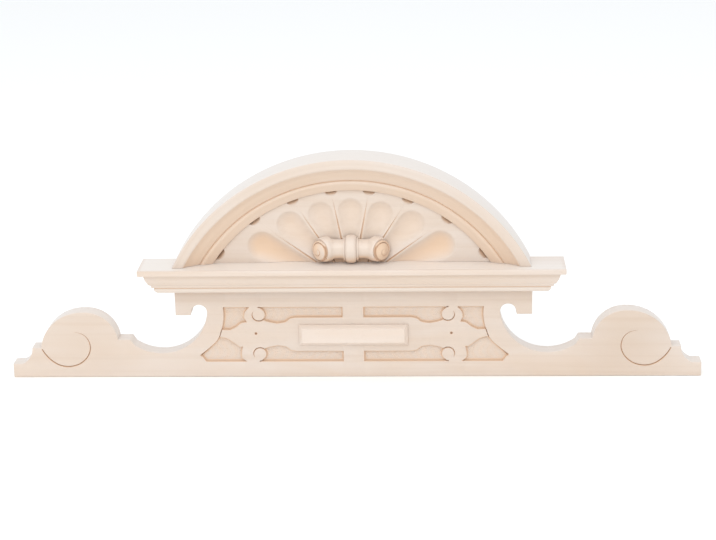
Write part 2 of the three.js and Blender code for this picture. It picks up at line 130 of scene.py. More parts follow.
volute_line_margin = 2.4

# Knife lines, at even steps from start to end. The volute line's are shares of its set width and depth.
volute_line_widths = [0.7, 1.05, 1, 0.9, 0.75, 0.5, 0.12]
volute_line_depths = [1, 1, 1, 0.9, 0.75, 0.5, 0.1]
border_line_widths = [1.4, 1.6, 1.6, 1.6, 1.8, 4]
border_line_depths = [4.5, 4, 2.6, 2.8, 3.6, 5.6]
eye_line_widths = [0.6, 2, 2, 2, 2, 2, 2]
eye_line_depths = [0.4, 1.8, 2.4, 2.8, 3.4, 4.2, 4.5]
deepest_line_share_of_ground = 1.3

# Ground of the strapwork: its jittered points, where its stipple starts inside the edge, and its painted tones
ground_seed = 7
ground_jitter = 0.3
ground_point_margin = 1.5
stipple_margin = 1.2
fillet_rise_share = 0.35
lip_shoulder_share = 0.3
# Painted shade along each sunk field's wall, from its foot up to its lip, fading over the run
wall_shades = [0, 0.45, 0.38, 0]
wall_shade_run = 1.8
# Warmer painted shade on the sunk ground, with a mottle in waves and by the stipple
ground_shade, ground_mottle_wave, ground_mottle_stipple = 0.038, 0.02, 0.012
# Share of a line's burn and painted shade where it crosses the ground
line_tint_on_ground = 0.4
nail_hole_tint = 0.9
# Paler painted highlight along the board's eased front edge, ring by ring, and on its sides
edge_highlights = -0.6 * np.array([0, 0.3, 0.7, 1, 1])[:, None]

# Cornice: how far each point of the moulding stands out from the frieze, and its height above the soffit
cornice_profile = [
    (17, 0), (21.6, 2), (24.8, 6.4), (24.6, 9.5), (24.6, 11), (28, 11), (28.6, 14.5), (31.5, 16.5),
    (35.3, 24.5), (37.5, 32.5), (44.5, 33.5), (44.5, 41.5),
]
cornice_quirk = (24.6, 10.4)
cornice_bead = (2.5, 8.5)
cornice_top_run = 6
quirk_reach = 1.5
# Burn and painted shade in the quirk, and the paler painted highlight on the bead's face
quirk_tint = 0.75
bead_highlight = -0.7

# Arch hood: how far each point of the moulding is inside the rim, and how far behind the hood's front
hood_step = [
    (11.8, 0), (14, 0.9), (16, 3.3), (18.4, 5.9), (21.5, 8.2), (25.5, 10.5), (29, 12.6), (32, 14.4),
]
hood_groove = (33.5, 16.9)
hood_bead = [(34.7, 14.8), (36.9, 14.1), (39.1, 14.8)]
hood_lip = (49, 20)
hood_columns = 181
# Burn and painted shade in the groove; painted shade on the step and the bead, more towards the ends
groove_tint = 0.6
step_shade, step_shade_at_ends = 0.08, 0.07

# Shell panel
lobes = range(-3, 4)
shell_focus_below_seat = 36.0
lobe_pitch = 21.4
scoop_rim_margins = (10.7, 11.6, 11.7, 16.4)
scoop_width_share = 0.3
scoop_depth_share = 0.05
# Painted shade in the hollows at their deepest, from the left hollow to the right
scoop_shades = (0.23, 0.08, 0.06, 0.06, 0.06, 0.08, 0.22)
lobe_line_half_width = 2.0
lobe_line_least_half_width = 0.06
lobe_line_most_half_angle = 1.55
lobe_line_depth = 3.0
# Burn and painted shade at the bottom of the lobe lines
lobe_line_tint, lobe_line_most_tint = 0.8, 0.7
lobe_line_rim_margin = 4.7
lobe_line_taper_run = 80
notch_radius = 9.5
notch_outset = 2.5
notch_depth = 11.0
notch_sill_share = 0.04
notch_slope_power = 1.7
# Painted shade in a notch, darkening from its edge to its deepest
notch_shade = 0.4
margin_columns, scoop_columns = 22, 57
scoop_rows, rim_rows, notch_rows = 60, 16, 8

# Painted shade on the panel low behind the roll: its height above the seat, its half width, how far each fades,
# and its tint
roll_shade_height, roll_shade_height_fade = 10, 6
roll_shade_half_width, roll_shade_width_fade = 50, 8
roll_shade_tint = 0.5

# Scroll bolster
ring_profile = [
    (0, 20.4), (2.6, 20.3), (5, 19.7), (6.8, 18.6), (7.6, 17.2), (7.9, 15.6), (8.4, 15.6), (8.5, 17),
    (10.1, 17), (10.5, 16), (10.6, 14.2),
]
drum_profile = [(10.6, 14.2), (16.7, 13.8), (23.2, 14.2), (33, 15.6), (36, 14.2)]
scroll_foot_radius = 18.5
scroll_neck = (17.7, 8.3)
scroll_band_radius = 16.2
scroll_band_height = 12.5
scroll_radius = 14.0
scroll_rim_ease = 2.4
scroll_length = 17.0
scroll_dome = 2.5
scroll_eye_radius = 3.2
scroll_centre = 46.0
scroll_reach = 10.5
scroll_turn = 45.0
scroll_face_rows = 44
roll_columns, scroll_columns = 96, 120
# Painted shade on the roll's underside
painted_underside_shade = 0.75
# Warm painted shade on each scroll's face, more on the right scroll and on its outer side
scroll_face_shade, scroll_face_shade_right, scroll_face_shade_outer = 0.24, 0.09, 0.12

# Spiral line of a scroll, by its turns from its lower outer end
scroll_line_start = -60
scroll_line_turns = [0, 0.42, 0.58, 0.83, 1.08, 1.33, 1.55]
scroll_line_radii = [14.2, 13.4, 12.0, 9.3, 6.9, 4.9, scroll_eye_radius]
scroll_line_strengths = [0.5, 1, 1, 0.6, 0.5, 0.5, 0.3]


# Curves

def arc(centre_x, centre_z, radius, start, end, step=2.0):
    """Points round an arc: the centre plus the radius times cosine and sine of an even run of angles."""
    count = max(2, math.ceil(abs(end - start) / step))
    angles = np.radians(np.linspace(start, end, count + 1))
    return np.column_stack([centre_x + radius * np.cos(angles), centre_z + radius * np.sin(angles)])


def curve_through(points, count):
    """Smooth curve through points: between two of them a cubic, whose slope at each point is half the step
    between that point's neighbours."""
    points = np.asarray(points, float)
    along = np.linspace(0, len(points) - 1, count + 1)
    index = np.minimum(along.astype(int), len(points) - 2)
    share = (along - index)[:, None]
    start, end = points[index], points[index + 1]
    leave = (end - points[np.maximum(index - 1, 0)]) / 2
    reach = (points[np.minimum(index + 2, len(points) - 1)] - start) / 2
    cubic = 2 * start - 2 * end + leave + reach
    square = -3 * start + 3 * end - 2 * leave - reach
    return cubic * share**3 + square * share**2 + leave * share + start


def table_at(share, table):
    """Value of a table of even steps at a share of its length."""
    return np.interp(share, np.linspace(0, 1, len(table)), table)


def refined_loop(loop, step):
    """A closed line with extra points, each stretch cut into equal parts no longer than the step."""
    line = np.vstack([loop, loop[:1]])
    lengths = np.hypot(*np.diff(line, axis=0).T)
    parts = np.maximum(1, np.ceil(lengths / step - 1e-6).astype(int))
    index = np.repeat(np.arange(len(parts)), parts)
    share = (np.arange(parts.sum()) - np.repeat(np.cumsum(parts) - parts, parts)) / parts[index]
    return line[index] + share[:, None] * (line[index + 1] - line[index])


def softened(line, ease, steps=4):
    """The open line with each inner corner rounded: a parabola from a point before it to one after it, at the
    ease or at most four tenths of the way to the next corner."""
    middle = line[1:-1]
    ends = []
    for other in (line[:-2], line[2:]):
        length = np.hypot(*(other - middle).T)[:, None]
        ends.append(middle + (other - middle) / length * np.minimum(ease, 0.4 * length))
    start, middle, end = (points[:, None, :] for points in (ends[0], middle, ends[1]))
    share = np.linspace(0, 1, steps)[None, :, None]
    curved = (1 - share) ** 2 * start + 2 * share * (1 - share) * middle + share**2 * end
    return np.vstack([line[:1], curved.reshape(-1, 2), line[-1:]])


def mirrored(points):
    """The outline's mirror image about the middle, still anticlockwise."""
    return points[::-1] * [-1, 1]


def offset(loop, distance):
    """The closed anticlockwise loop moved outwards: each point goes along the sum of its two edges' normals,
    lengthened so that both edges move by the distance, and by at most 3 times the distance."""
    ahead = np.roll(loop, -1, axis=0) - loop
    normal = np.column_stack([ahead[:, 1], -ahead[:, 0]]) / np.hypot(*ahead.T)[:, None]
    both = normal + np.roll(normal, 1, axis=0)
    mitre = 2 * both / np.maximum((both**2).sum(axis=1), 0.2)[:, None]
    length = np.hypot(*mitre.T)[:, None]
    return loop + distance * mitre * np.minimum(1, 3 / np.maximum(length, 1e-9))


def strip_along(line, width, margin):
    """Closed outline of a strip: the line moved sideways by half its width and a margin, there and back, with
    a half circle round each of its ends."""
    ahead = np.gradient(line, axis=0)
    ahead = ahead / np.hypot(*ahead.T)[:, None]
    across = np.column_stack([-ahead[:, 1], ahead[:, 0]])
    half = (width / 2 + margin)[:, None]
    turn = np.radians(np.arange(-60, 61, 30))[:, None]
    last = line[-1] + half[-1] * (np.cos(turn) * ahead[-1] + np.sin(turn) * across[-1])
    first = line[0] + half[0] * (np.sin(turn) * -across[0] - np.cos(turn) * ahead[0])
    return np.vstack([line - across * half, last, (line + across * half)[::-1], first])


def with_depth(outline, y):
    """Points of an outline in X and Z, at one depth or each at its own."""
    return np.column_stack([outline[:, 0], np.broadcast_to(y, len(outline)), outline[:, 1]])


# Distances

def line_distance(points, line):
    """Distance from each point to the nearest place on an open line, and that place as a share of the line's
    points: each point is dropped square onto every stretch, and the nearest foot counts."""
    start, ahead = line[:-1], np.diff(line, axis=0)
    size = np.maximum((ahead**2).sum(axis=1), 1e-12)
    nearest, place = [], []
    for block in np.array_split(points, max(1, len(points) // 4000)):
        to_point = block[:, None, :] - start
        share = np.clip((to_point * ahead).sum(axis=2) / size, 0, 1)
        reach = np.hypot(*np.moveaxis(to_point - share[..., None] * ahead, 2, 0))
        best = reach.argmin(axis=1)
        rows = np.arange(len(block))
        nearest.append(reach[rows, best])
        place.append((best + share[rows, best]) / len(ahead))
    return np.concatenate(nearest), np.concatenate(place)


def signed_distance(points, loop):
    """Distance from each point to a closed loop, negative inside it. A point is inside where a ray to its
    right crosses the loop an odd number of times."""
    closed = np.vstack([loop, loop[:1]])
    distance, _ = line_distance(points, closed)
    start, end = closed[:-1], closed[1:]
    rise = np.where(end[:, 1] == start[:, 1], 1e-12, end[:, 1] - start[:, 1])
    crosses = (points[:, 1:] > start[:, 1]) != (points[:, 1:] > end[:, 1])
    at = start[:, 0] + (points[:, 1:] - start[:, 1]) / rise * (end[:, 0] - start[:, 0])
    inside = (crosses & (points[:, :1] < at)).sum(axis=1) % 2 == 1
    return np.where(inside, -distance, distance)


# Meshes

class Surface:
    """Points and faces of one piece, gathered patch by patch, with each point's painted tone: 0 is the sanded
    face, above 0 a warmer, then darker painted shade, 1 burn and painted shade at the bottom of a knife line,
    and -1 a paler painted highlight on a top."""

    def __init__(self):
        self.points = []
        self.cuts = []
        self.faces = []
        self.count = 0

    def add(self, points, faces, cut=0.0):
        """Adds a patch: its points in millimetres, its faces as rows of point numbers, and its painted tone."""
        self.points.append(points)
        self.cuts.append(np.broadcast_to(cut, len(points)))
        self.faces.extend((np.asarray(faces) + self.count).tolist())
        self.count += len(points)

    def add_grid(self, points, closed_rows=False, closed_columns=False, cut=0.0):
        """Adds a grid of points, rows by columns by 3, with a four-sided face between each four neighbours."""
        rows, columns = points.shape[:2]
        number = np.arange(rows * columns).reshape(rows, columns)
        if closed_rows:
            number = np.vstack([number, number[:1]])
        if closed_columns:
            number = np.hstack([number, number[:, :1]])
        corners = [number[:-1, :-1], number[:-1, 1:], number[1:, 1:], number[1:, :-1]]
        cuts = np.broadcast_to(cut, (rows, columns)).ravel()
        self.add(points.reshape(-1, 3), np.stack(corners, axis=-1).reshape(-1, 4), cuts)

    def add_face(self, points, cut=0.0):
        """Adds one flat face with many corners, made of triangles."""
        flat = points - points.mean(axis=0)
        _, _, axes = np.linalg.svd(flat, full_matrices=False)
        loop = flat @ axes[:2].T
        found, triangles = triangulated(loop)
        order = np.array([((loop - p) ** 2).sum(axis=1).argmin() for p in found])
        self.add(points, order[triangles], cut)

    def closed_mesh(self, name):
        """Mesh of the surface: points that meet are merged, slivers go, and faces are turned outwards."""
        mesh = bpy.data.meshes.new(name)
        mesh.from_pydata((np.vstack(self.points) * MM).tolist(), [], self.faces)
        cuts = np.concatenate(self.cuts).astype(float)
        # Each point's painted tone for the wood: painted shade, burn and painted highlight
        mesh.attributes.new("cut", "FLOAT", "POINT").data.foreach_set("value", cuts)
        work = bmesh.new()
        work.from_mesh(mesh)
        bmesh.ops.remove_doubles(work, verts=work.verts, dist=0.004 * MM)
        bmesh.ops.dissolve_degenerate(work, edges=work.edges, dist=0.002 * MM)
        write_outward(work, mesh)
        return mesh


def write_outward(work, mesh):
    """Turns the faces of an edited mesh outwards and writes it back."""
    bmesh.ops.recalc_face_normals(work, faces=work.faces)
    if work.calc_volume(signed=True) < 0:
        bmesh.ops.reverse_faces(work, faces=work.faces)
    work.to_mesh(mesh)
    work.free()


def mesh_points(mesh):
    """The mesh's points in millimetres, a row each."""
    place = np.zeros(len(mesh.vertices) * 3)
    mesh.vertices.foreach_get("co", place)
    return place.reshape(-1, 3) / MM


def triangulated(outline, lines=(), loose=np.empty((0, 2))):
    """Points and triangles that fill a closed outline, by constrained Delaunay triangulation, in which every
    given line stays a row of edges. A line is its points and whether it is closed. Loose points come last."""
    groups = [outline]
    edges = []
    count = len(outline)
    for line, closed in lines:
        number = np.arange(count, count + len(line))
        pairs = np.column_stack([number, np.roll(number, -1)])
        edges.extend((pairs if closed else pairs[:-1]).tolist())
        groups.append(line)
        count += len(line)
    points = np.vstack([*groups, loose]).tolist()
    found = delaunay_2d_cdt(points, edges, [list(range(len(outline)))], 1, 1e-5)
    return np.array([tuple(p) for p in found[0]]), np.array(found[2])


# Crest board

toe_x = board_end - toe_run
outer_step_x = toe_x - toe_cove_run
crown_x = board_end - volute_crown_from_end
inner_crown_x = crown_x - volute_crown_flat
outer_arc_height = volute_top - volute_outer_radius
inner_arc_height = volute_top - volute_inner_radius
inner_foot = math.degrees(math.asin((inner_step_height - inner_arc_height) / volute_inner_radius))
outer_foot = math.degrees(math.asin((outer_step_height - outer_arc_height) / volute_outer_radius))
inner_step_x = inner_crown_x - volute_inner_radius * math.cos(math.radians(inner_foot)) - inner_step_run
hook_centre_x = inner_step_x - inner_step_lip - hook_centre_from_lip
hook_start = -math.degrees(math.acos(hook_centre_from_lip / hook_radius))
hook_end = -180 - math.degrees(math.asin((bay_centre_height - hook_centre_height) / hook_radius))
bay_centre_x = hook_centre_x + hook_radius * math.cos(math.radians(hook_end)) + bay_radius
ear_half_width = board_end - ear_from_end
front_top = frieze_top - gap
tongue_half_width = ear_half_width - tongue_inset
tongue_front = cornice_high[1] + gap
strapwork_half_length = hook_centre_x - strapwork_end_from_hook
strapwork_top = strapwork_middle + strapwork_height / 2
strapwork_bottom = strapwork_middle - strapwork_height / 2
eye_x = strapwork_half_length * eye_share_of_length
eye_heights = [strapwork_middle + rising * eye_above_middle for rising in (1, -1)]
nail_x = strapwork_half_length * nail_hole_share_of_length
nail_height = strapwork_middle + nail_hole_above_middle


def toe_cove():
    """The hollow between toe and outer step: the arc of the cove's radius through both corners, bulging
    downwards and inwards."""
    start = np.array([toe_x, toe_height])
    end = np.array([outer_step_x, outer_step_height])
    chord = end - start
    half = np.hypot(*chord) / 2
    across = np.array([chord[1], -chord[0]]) / (2 * half)
    centre = (start + end) / 2 + across * math.sqrt(toe_cove_radius**2 - half**2)
    first, last = (math.degrees(math.atan2(*(corner - centre)[::-1])) for corner in (start, end))
    return arc(*centre, toe_cove_radius, first, last - 360 if last > first else last, 3)


def board_outline():
    """The board's outline: its right half, from the bottom centre round to the top centre, and the mirror
    image of that."""
    ear_x = ear_half_width - ear_width
    half = np.vstack([
        [(0, 0), (board_end, 0), (board_end, toe_height)],
        toe_cove()[1:],
        arc(crown_x, outer_arc_height, volute_outer_radius, outer_foot, 90),
        arc(inner_crown_x, inner_arc_height, volute_inner_radius, 90, 180 - inner_foot),
        [(inner_step_x, inner_step_height)],
        arc(hook_centre_x, hook_centre_height, hook_radius, hook_start, hook_end),
        arc(bay_centre_x, bay_centre_height, bay_radius, 180, 0, 5)[1:],
        [(ear_x, ear_bottom), (ear_half_width, ear_bottom), (ear_half_width, front_top), (0, front_top)],
    ])
    return np.vstack([half, mirrored(half)[1:-1]])


def strap_curve(shares, count):
    """A curve of the strapwork, from shares of its half length and half height."""
    points = np.array(shares, float) * [strapwork_half_length, strapwork_height / 2]
    return curve_through(points + [0, strapwork_middle], count)


def sunk_fields():
    """The right half's four sunk fields. Both inner ones lie between the middle bar and an eye, and have a
    wavy edge along the strap. The outer ones lie between a curl and the border, and the lower of them runs to
    a point at its outer end."""
    wave = strap_curve([(0.37, 0.622), (0.41, 0.579), (0.4435, 0.4545), (0.496, 0.407)], 30)
    rise = strap_curve([(0.541, 0.45), (0.581, 0.526), (0.5995, 0.646)], 16)
    bar = centre_bar_width / 2
    corners = [(bar, strapwork_top), (bar, strapwork_middle + strap_half_height)]
    inner = np.vstack([corners, wave, rise, [(rise[-1, 0], strapwork_top)]])
    inner_lower = inner[::-1] * [1, -1] + [0, 2 * strapwork_middle]
    outer_upper = np.vstack([
        strap_curve(upper_border, 24),
        strap_curve([(0.805, 0.17), (0.764, 0.282), (0.73, 0.423), (0.694, 0.457)], 20),
        strap_curve([(0.7105, 0.622), (0.7025, 0.825), (0.6745, 1)], 14),
    ])[::-1]
    outer_lower = np.vstack([
        strap_curve([(0.875, -0.0885), (0.827, -0.146), (0.782, -0.313), (0.744, -0.4665)], 24),
        strap_curve([(0.726, -0.447), (0.7345, -0.658), (0.733, -0.861), (0.703, -1)], 20),
        [(0.969 * strapwork_half_length, strapwork_bottom)],
        strap_curve(lower_border, 24)[::-1],
    ])
    return [inner, inner_lower, outer_upper, outer_lower]


def ground_distance(points):
    """Distance from each point to the edge of the sunk ground, negative on the ground. It is the least of the
    distances to the fields, after the round eyes are taken out of the inner ones."""
    half = np.abs(points)
    upper, lower, *outer = [signed_distance(half, field) for field in sunk_fields()]
    eyes = [eye_radius - np.hypot(half[:, 0] - eye_x, half[:, 1] - height) for height in eye_heights]
    inner = np.max([np.minimum(upper, lower), *eyes], axis=0)
    return np.min([inner, *outer], axis=0)


def ground_section(sizes):
    """Section of a sunk field's side: distances from its edge, negative inwards, and the depth at each. They
    are the floor, the wall's foot, its top, the lip's shoulder and the face."""
    lip = sizes.lip / MM
    ground = sizes.ground_depth / MM
    away = [-sizes.wall_run - sizes.floor_fillet, -sizes.wall_run, 0, lip_shoulder_share * sizes.lip, sizes.lip]
    foot = ground - fillet_rise_share * sizes.floor_fillet / MM
    return np.array(away) / MM, [ground, foot, lip, lip_shoulder_share * lip, 0]


def eye_line(rising):
    """The spiral cut between an eye and the strap that curls round it: the angle turns back evenly and the
    radius grows evenly. Rising is 1 for the upper eye and -1 for the lower."""
    share = np.linspace(0, 1, 61)
    angle = np.radians(eye_line_start - eye_line_sweep * share)
    radius = eye_line_radii[0] + (eye_line_radii[1] - eye_line_radii[0]) * share
    x = eye_x + radius * np.cos(angle)
    return np.column_stack([x, strapwork_middle + rising * (eye_above_middle + radius * np.sin(angle))])


def volute_line():
    """The incised line of a wing, through shares of the volute's height about its eye, as far as it keeps a
    margin from the board's edge."""
    eye = np.array([crown_x + volute_eye_from_crown, outer_step_height + volute_eye_above_step])
    line = curve_through(eye + np.array(volute_turns) * (volute_top - toe_height), 120)
    return line[signed_distance(line, board_outline()) < -volute_line_margin]


def knife_lines(sizes):
    """The right half's V-cut lines: each one's points, its widths and its depths from its start to its end."""
    wide = sizes.volute_line_width / MM * np.array(volute_line_widths)
    deep = sizes.volute_line_depth / MM * np.array(volute_line_depths)
    border = strap_curve(upper_border + lower_border, 70)
    return [
        (volute_line(), wide, deep),
        (border, border_line_widths, border_line_depths),
        (eye_line(1), eye_line_widths, eye_line_depths),
        (eye_line(-1), eye_line_widths, eye_line_depths),
    ]


def stipple(points):
    """Punch marks of the ground: two crossed waves, each bent by the other direction, and finer slanted ones
    over them."""
    x, z = points.T
    waves = np.sin(4.1 * x + 1.7 * np.sin(2.3 * z)) * np.sin(3.7 * z + 1.9 * np.sin(1.9 * x))
    return waves + 0.4 * np.sin(9.3 * x + 2 * z) * np.sin(8.1 * z - 3 * x)


def relief_depth(points, sizes):
    """How deep the front is cut at each point, and its painted tone. The ground's depth follows the distance from
    its edge, with stipple on the floor. A line's section is a V, a nail hole is a straight pit, and the deepest
    counts. Lines get burn and painted shade, the walls painted shade at their foot and lip, and nail holes are
    tinted. The floor gets a little warmer painted shade, mottled in waves across the board and by the stipple."""
    x, z = np.abs(points[:, 0]), points[:, 1]
    half = np.column_stack([x, z])
    away, fall = ground_section(sizes)
    ground = ground_distance(points)
    marks = stipple(points)
    depth = np.interp(ground, away, fall)
    depth = depth + np.clip(-ground - stipple_margin, 0, 1) * marks * sizes.stipple / MM
    # Burn and painted shade at the bottom of each V-cut line, less where it crosses the ground
    line_tint = np.zeros(len(points))
    for line, widths, depths in knife_lines(sizes):
        distance, place = line_distance(half, line)
        share = np.clip(1 - distance / (table_at(place, widths) / 2), 0, 1)
        line_tint = np.maximum(line_tint, np.where(ground > 0, share, line_tint_on_ground * share))
        valley = np.minimum(table_at(place, depths) * share, fall[0] * deepest_line_share_of_ground)
        depth = np.maximum(depth, valley)
    hole = np.hypot(x - nail_x, z - nail_height)
    pit = [nail_hole_floor_share * nail_hole_radius, nail_hole_radius]
    depth = np.maximum(depth, np.interp(hole, pit, [nail_hole_depth, 0]))
    # Painted shade along the walls' foot and lip
    wall_shade = np.interp(ground, [away[1] - wall_shade_run, away[1], away[3], away[4]], wall_shades)
    # Warmer painted shade on the ground's floor, mottled in waves and by the stipple
    wave = np.sin(0.55 * x + 2 * np.sin(0.21 * z))
    floor_shade_and_mottle = ground_shade + ground_mottle_wave * wave + ground_mottle_stipple * marks
    floor_shade_and_mottle = np.where(ground < 0, floor_shade_and_mottle, 0)
    hole_tint = np.interp(hole, [nail_hole_radius, nail_hole_radius + 0.3], [nail_hole_tint, 0])
    return depth, np.max([line_tint, wall_shade, floor_shade_and_mottle, hole_tint], axis=0)


def carving_guides(sizes):
    """The lines that the front's triangles follow: the ground's edge at the lip, the wall's foot and between,
    both sides and the bottom of each V-cut line, and the rings of each nail hole, on both halves."""
    aways = ground_section(sizes)[0][::-1]
    loops = [offset(refined_loop(field, 1.1), away) for field in sunk_fields() for away in aways]
    loops += [arc(eye_x, height, eye_radius - away, 0, 360, 6)[1:] for height in eye_heights for away in aways]
    guides = [(loop, True) for loop in loops]
    for line, widths, _ in knife_lines(sizes):
        width = table_at(np.linspace(0, 1, len(line)), widths)
        guides += [(strip_along(line, width, margin), True) for margin in (0, 0.5)] + [(line, False)]
    rings = [share * nail_hole_radius for share in (nail_hole_floor_share, 1, 1.25)]
    guides += [(arc(nail_x, nail_height, ring, 0, 360, 20)[1:], True) for ring in rings]
    return [(side, closed) for line, closed in guides
            for side in (line, mirrored(line) if closed else line * [-1, 1])]


def ground_points(step):
    """Points of a jittered grid over the strapwork, close enough together to carry the stipple."""
    random = np.random.default_rng(ground_seed)
    reach = strapwork_half_length + 2
    x, z = np.meshgrid(np.arange(-reach, reach, step), np.arange(strapwork_bottom, strapwork_top, step))
    grid = np.column_stack([x.ravel(), z.ravel()])
    grid += random.uniform(-ground_jitter, ground_jitter, grid.shape) * step
    return grid[ground_distance(grid) < -ground_point_margin]


def board_mesh(sizes):
    """The board: its carved front, a height field over the outline, its front edge eased by a quarter circle,
    its sides, and the flat back with the thin tongue that stands up behind the cornice."""
    outline = refined_loop(board_outline(), outline_step)
    on_top = np.abs(outline[:, 1] - front_top) < 1e-6
    for edge in (tongue_half_width, -tongue_half_width):
        outline[np.where(on_top, np.abs(outline[:, 0] - edge), 1e3).argmin()] = (edge, front_top)
    ease = sizes.edge_ease / MM
    surface = Surface()
    loose = ground_points(sizes.stipple_pitch / MM)
    flat, triangles = triangulated(offset(outline, -ease), carving_guides(sizes), loose)
    depth, cut = relief_depth(flat, sizes)
    surface.add(with_depth(flat, board_front + depth), triangles, cut)
    rings = [
        with_depth(offset(outline, -ease * (1 - math.sin(turn))), board_front + ease * (1 - math.cos(turn)))
        for turn in np.radians([0, 30, 60, 90])
    ]
    rings.append(with_depth(outline, tongue_front))
    # The eased edge and the sides get the paler painted highlight
    surface.add_grid(np.array(rings), closed_columns=True, cut=edge_highlights)
    add_back(surface, outline, on_top & (np.abs(outline[:, 0]) <= tongue_half_width + 1e-6))
    return surface.closed_mesh("board_carved")


def add_back(surface, outline, behind):
    """Adds the board's sides from the tongue's front backwards, the tongue, and the flat back of both. Behind
    marks the points of the outline that the tongue stands on."""
    count = len(outline)
    number = np.arange(count)
    following = np.roll(number, -1)
    sides = np.column_stack([number, following, following + count, number + count])
    side_rings = np.vstack([with_depth(outline, tongue_front), with_depth(outline, board_back)])
    # The sides get the paler painted highlight
    surface.add(side_rings, sides[~(behind & behind[following])], edge_highlights[-1])
    foot = outline[behind]
    head = foot * [1, 0] + [0, cornice_high[2]]
    rows = [with_depth(foot, tongue_front), with_depth(head, tongue_front), with_depth(head, board_back)]
    surface.add_grid(np.array(rows))
    for end in (0, -1):
        corners = [row[end] for row in (*rows, with_depth(foot, board_back))]
        surface.add(np.array(corners), [(0, 1, 2, 3)])
    rolled = np.roll(outline, -np.flatnonzero(behind & ~np.roll(behind, 1))[0], axis=0)
    surface.add_face(with_depth(np.vstack([head, rolled[len(foot) - 1:], rolled[:1]]), board_back))


# Tablet

def tablet_mesh(sizes):
    """The tablet: a profile of edge, bevel and flat, carried round a rectangle with mitred corners."""
    length, thick, height = tablet_high - tablet_low
    bevel = sizes.tablet_bevel_run / MM
    profile = np.array([(0, 0), (0, sizes.tablet_edge / MM), (bevel, thick), (bevel + 4, thick)], float)
    profile = softened(profile, sizes.tablet_ease / MM)
    inset, rise = profile[:, :1], profile[:, 1:]
    x = np.array([1, 1, -1, -1]) * (length / 2 - inset)
    z = np.array([-1, 1, 1, -1]) * (height / 2 - inset) + (tablet_high[2] + tablet_low[2]) / 2
    grid = np.stack([x, np.broadcast_to(tablet_high[1] - rise, x.shape), z], axis=-1)
    surface = Surface()
    surface.add_grid(grid, closed_columns=True)
    for row in (grid[0], grid[-1]):
        surface.add(row, [(0, 1, 2, 3)])
    return surface.closed_mesh("tablet_bevelled")


# Cornice

def cornice_mesh(sizes):
    """The cornice: its profile carried along the left end, the front and the right end. At a mitre each
    profile point lies as far out sideways as forwards, and the corner is eased by a small quarter circle. The
    top and the bead get a paler painted highlight, and the quirk burn and painted shade."""
    ease = sizes.edge_ease / MM
    profile = np.array(cornice_profile, float)
    bead = curve_through(profile[:4], 12)
    throat = curve_through(profile[7:10], 14)
    inward = profile[-1] - [cornice_top_run, 0]
    profile = softened(np.vstack([bead, profile[4:7], throat, profile[10:], inward]), ease)
    out, rise = profile[:, :1], profile[:, 1:]
    turn = np.radians(np.linspace(0, 90, 4))
    side_x = -(ear_half_width + out) + ease * (1 - np.cos(turn))
    side_y = board_front - out + ease * (1 - np.sin(turn))
    back = np.full_like(out, cornice_high[1])
    x = np.hstack([-(ear_half_width + out), side_x, -side_x[:, ::-1], ear_half_width + out])
    y = np.hstack([back, side_y, side_y[:, ::-1], back])
    grid = np.stack([x, y, np.broadcast_to(frieze_top + rise, x.shape)], axis=-1)
    # Burn and painted shade in the quirk, and the paler painted highlight on the bead and the top
    quirk = np.hypot(out - cornice_quirk[0], rise - cornice_quirk[1])
    cut = quirk_tint * np.clip(1 - quirk / quirk_reach, 0, 1)
    cut[(rise > cornice_bead[0]) & (rise < cornice_bead[1])] = bead_highlight
    cut[-1] = -1
    surface = Surface()
    surface.add_grid(grid, cut=cut)
    surface.add_face(grid[0])
    surface.add_face(grid[-1], -1)
    surface.add_face(np.vstack([grid[:, 0], grid[::-1, -1]]))
    return surface.closed_mesh("cornice_moulded")


# Arch hood

hood_rise = hood_high[2] - seat_height
hood_half_span = (hood_high[0] - hood_low[0]) / 2
arch_radius = (hood_half_span**2 + hood_rise**2) / (2 * hood_rise)
arch_centre_height = hood_high[2] - arch_radius
lip_radius = arch_radius - hood_lip[0]
shell_radius = lip_radius - gap


def hood_mesh(sizes):
    """The hood: a closed profile of radius and depth turned about the arch's centre. Each profile point runs
    from the seat on one side to the seat on the other, so both ends are cut flat. The rim gets a paler painted
    highlight, the groove burn and painted shade, and the step and the bead painted shade, more towards the ends."""
    step, bead = curve_through(hood_step, 42), curve_through(hood_bead, 14)
    front = np.vstack([[(0, 0)], step, [hood_groove], bead, [hood_lip]])
    points = [arch_radius, hood_low[1]] + front * [-1, 1]
    points = np.vstack([[(arch_radius, board_back)], points, [(lip_radius, board_back)]])
    radius, depth = np.split(softened(points, sizes.edge_ease / MM), 2, axis=1)
    first = np.arcsin((seat_height - arch_centre_height) / radius)
    angle = first + (np.pi - 2 * first) * np.linspace(0, 1, hood_columns)
    x = radius * np.cos(angle)
    grid = np.stack([x, np.broadcast_to(depth, x.shape), arch_centre_height + radius * np.sin(angle)], axis=-1)
    # Burn and painted shade in the groove, painted shade on the step and the bead, paler painted highlight on the
    # rim
    groove = np.hypot(radius - (arch_radius - hood_groove[0]), depth - (hood_low[1] + hood_groove[1]))
    inside = (radius < arch_radius - hood_step[1][0]) & (depth < hood_low[1] + hood_lip[1] + 1)
    cut = inside * (step_shade + step_shade_at_ends * np.cos(angle) ** 2)
    cut = np.maximum(cut, groove_tint * np.clip(1 - groove / quirk_reach, 0, 1))
    surface = Surface()
    surface.add_grid(grid, closed_rows=True, cut=np.where(radius > arch_radius - 0.01, -1, cut))
    surface.add_face(grid[:, 0])
    surface.add_face(grid[:, -1])
    return surface.closed_mesh("hood_moulded")


def hood_grain(points):
    """The hood's wood runs along its curve: length along the rim, depth, and distance from the centre."""
    across = points[:, 2] - arch_centre_height
    angle = np.arctan2(points[:, 0], across)
    return np.column_stack([angle * arch_radius, points[:, 1], np.hypot(points[:, 0], across)])


# Shell panel

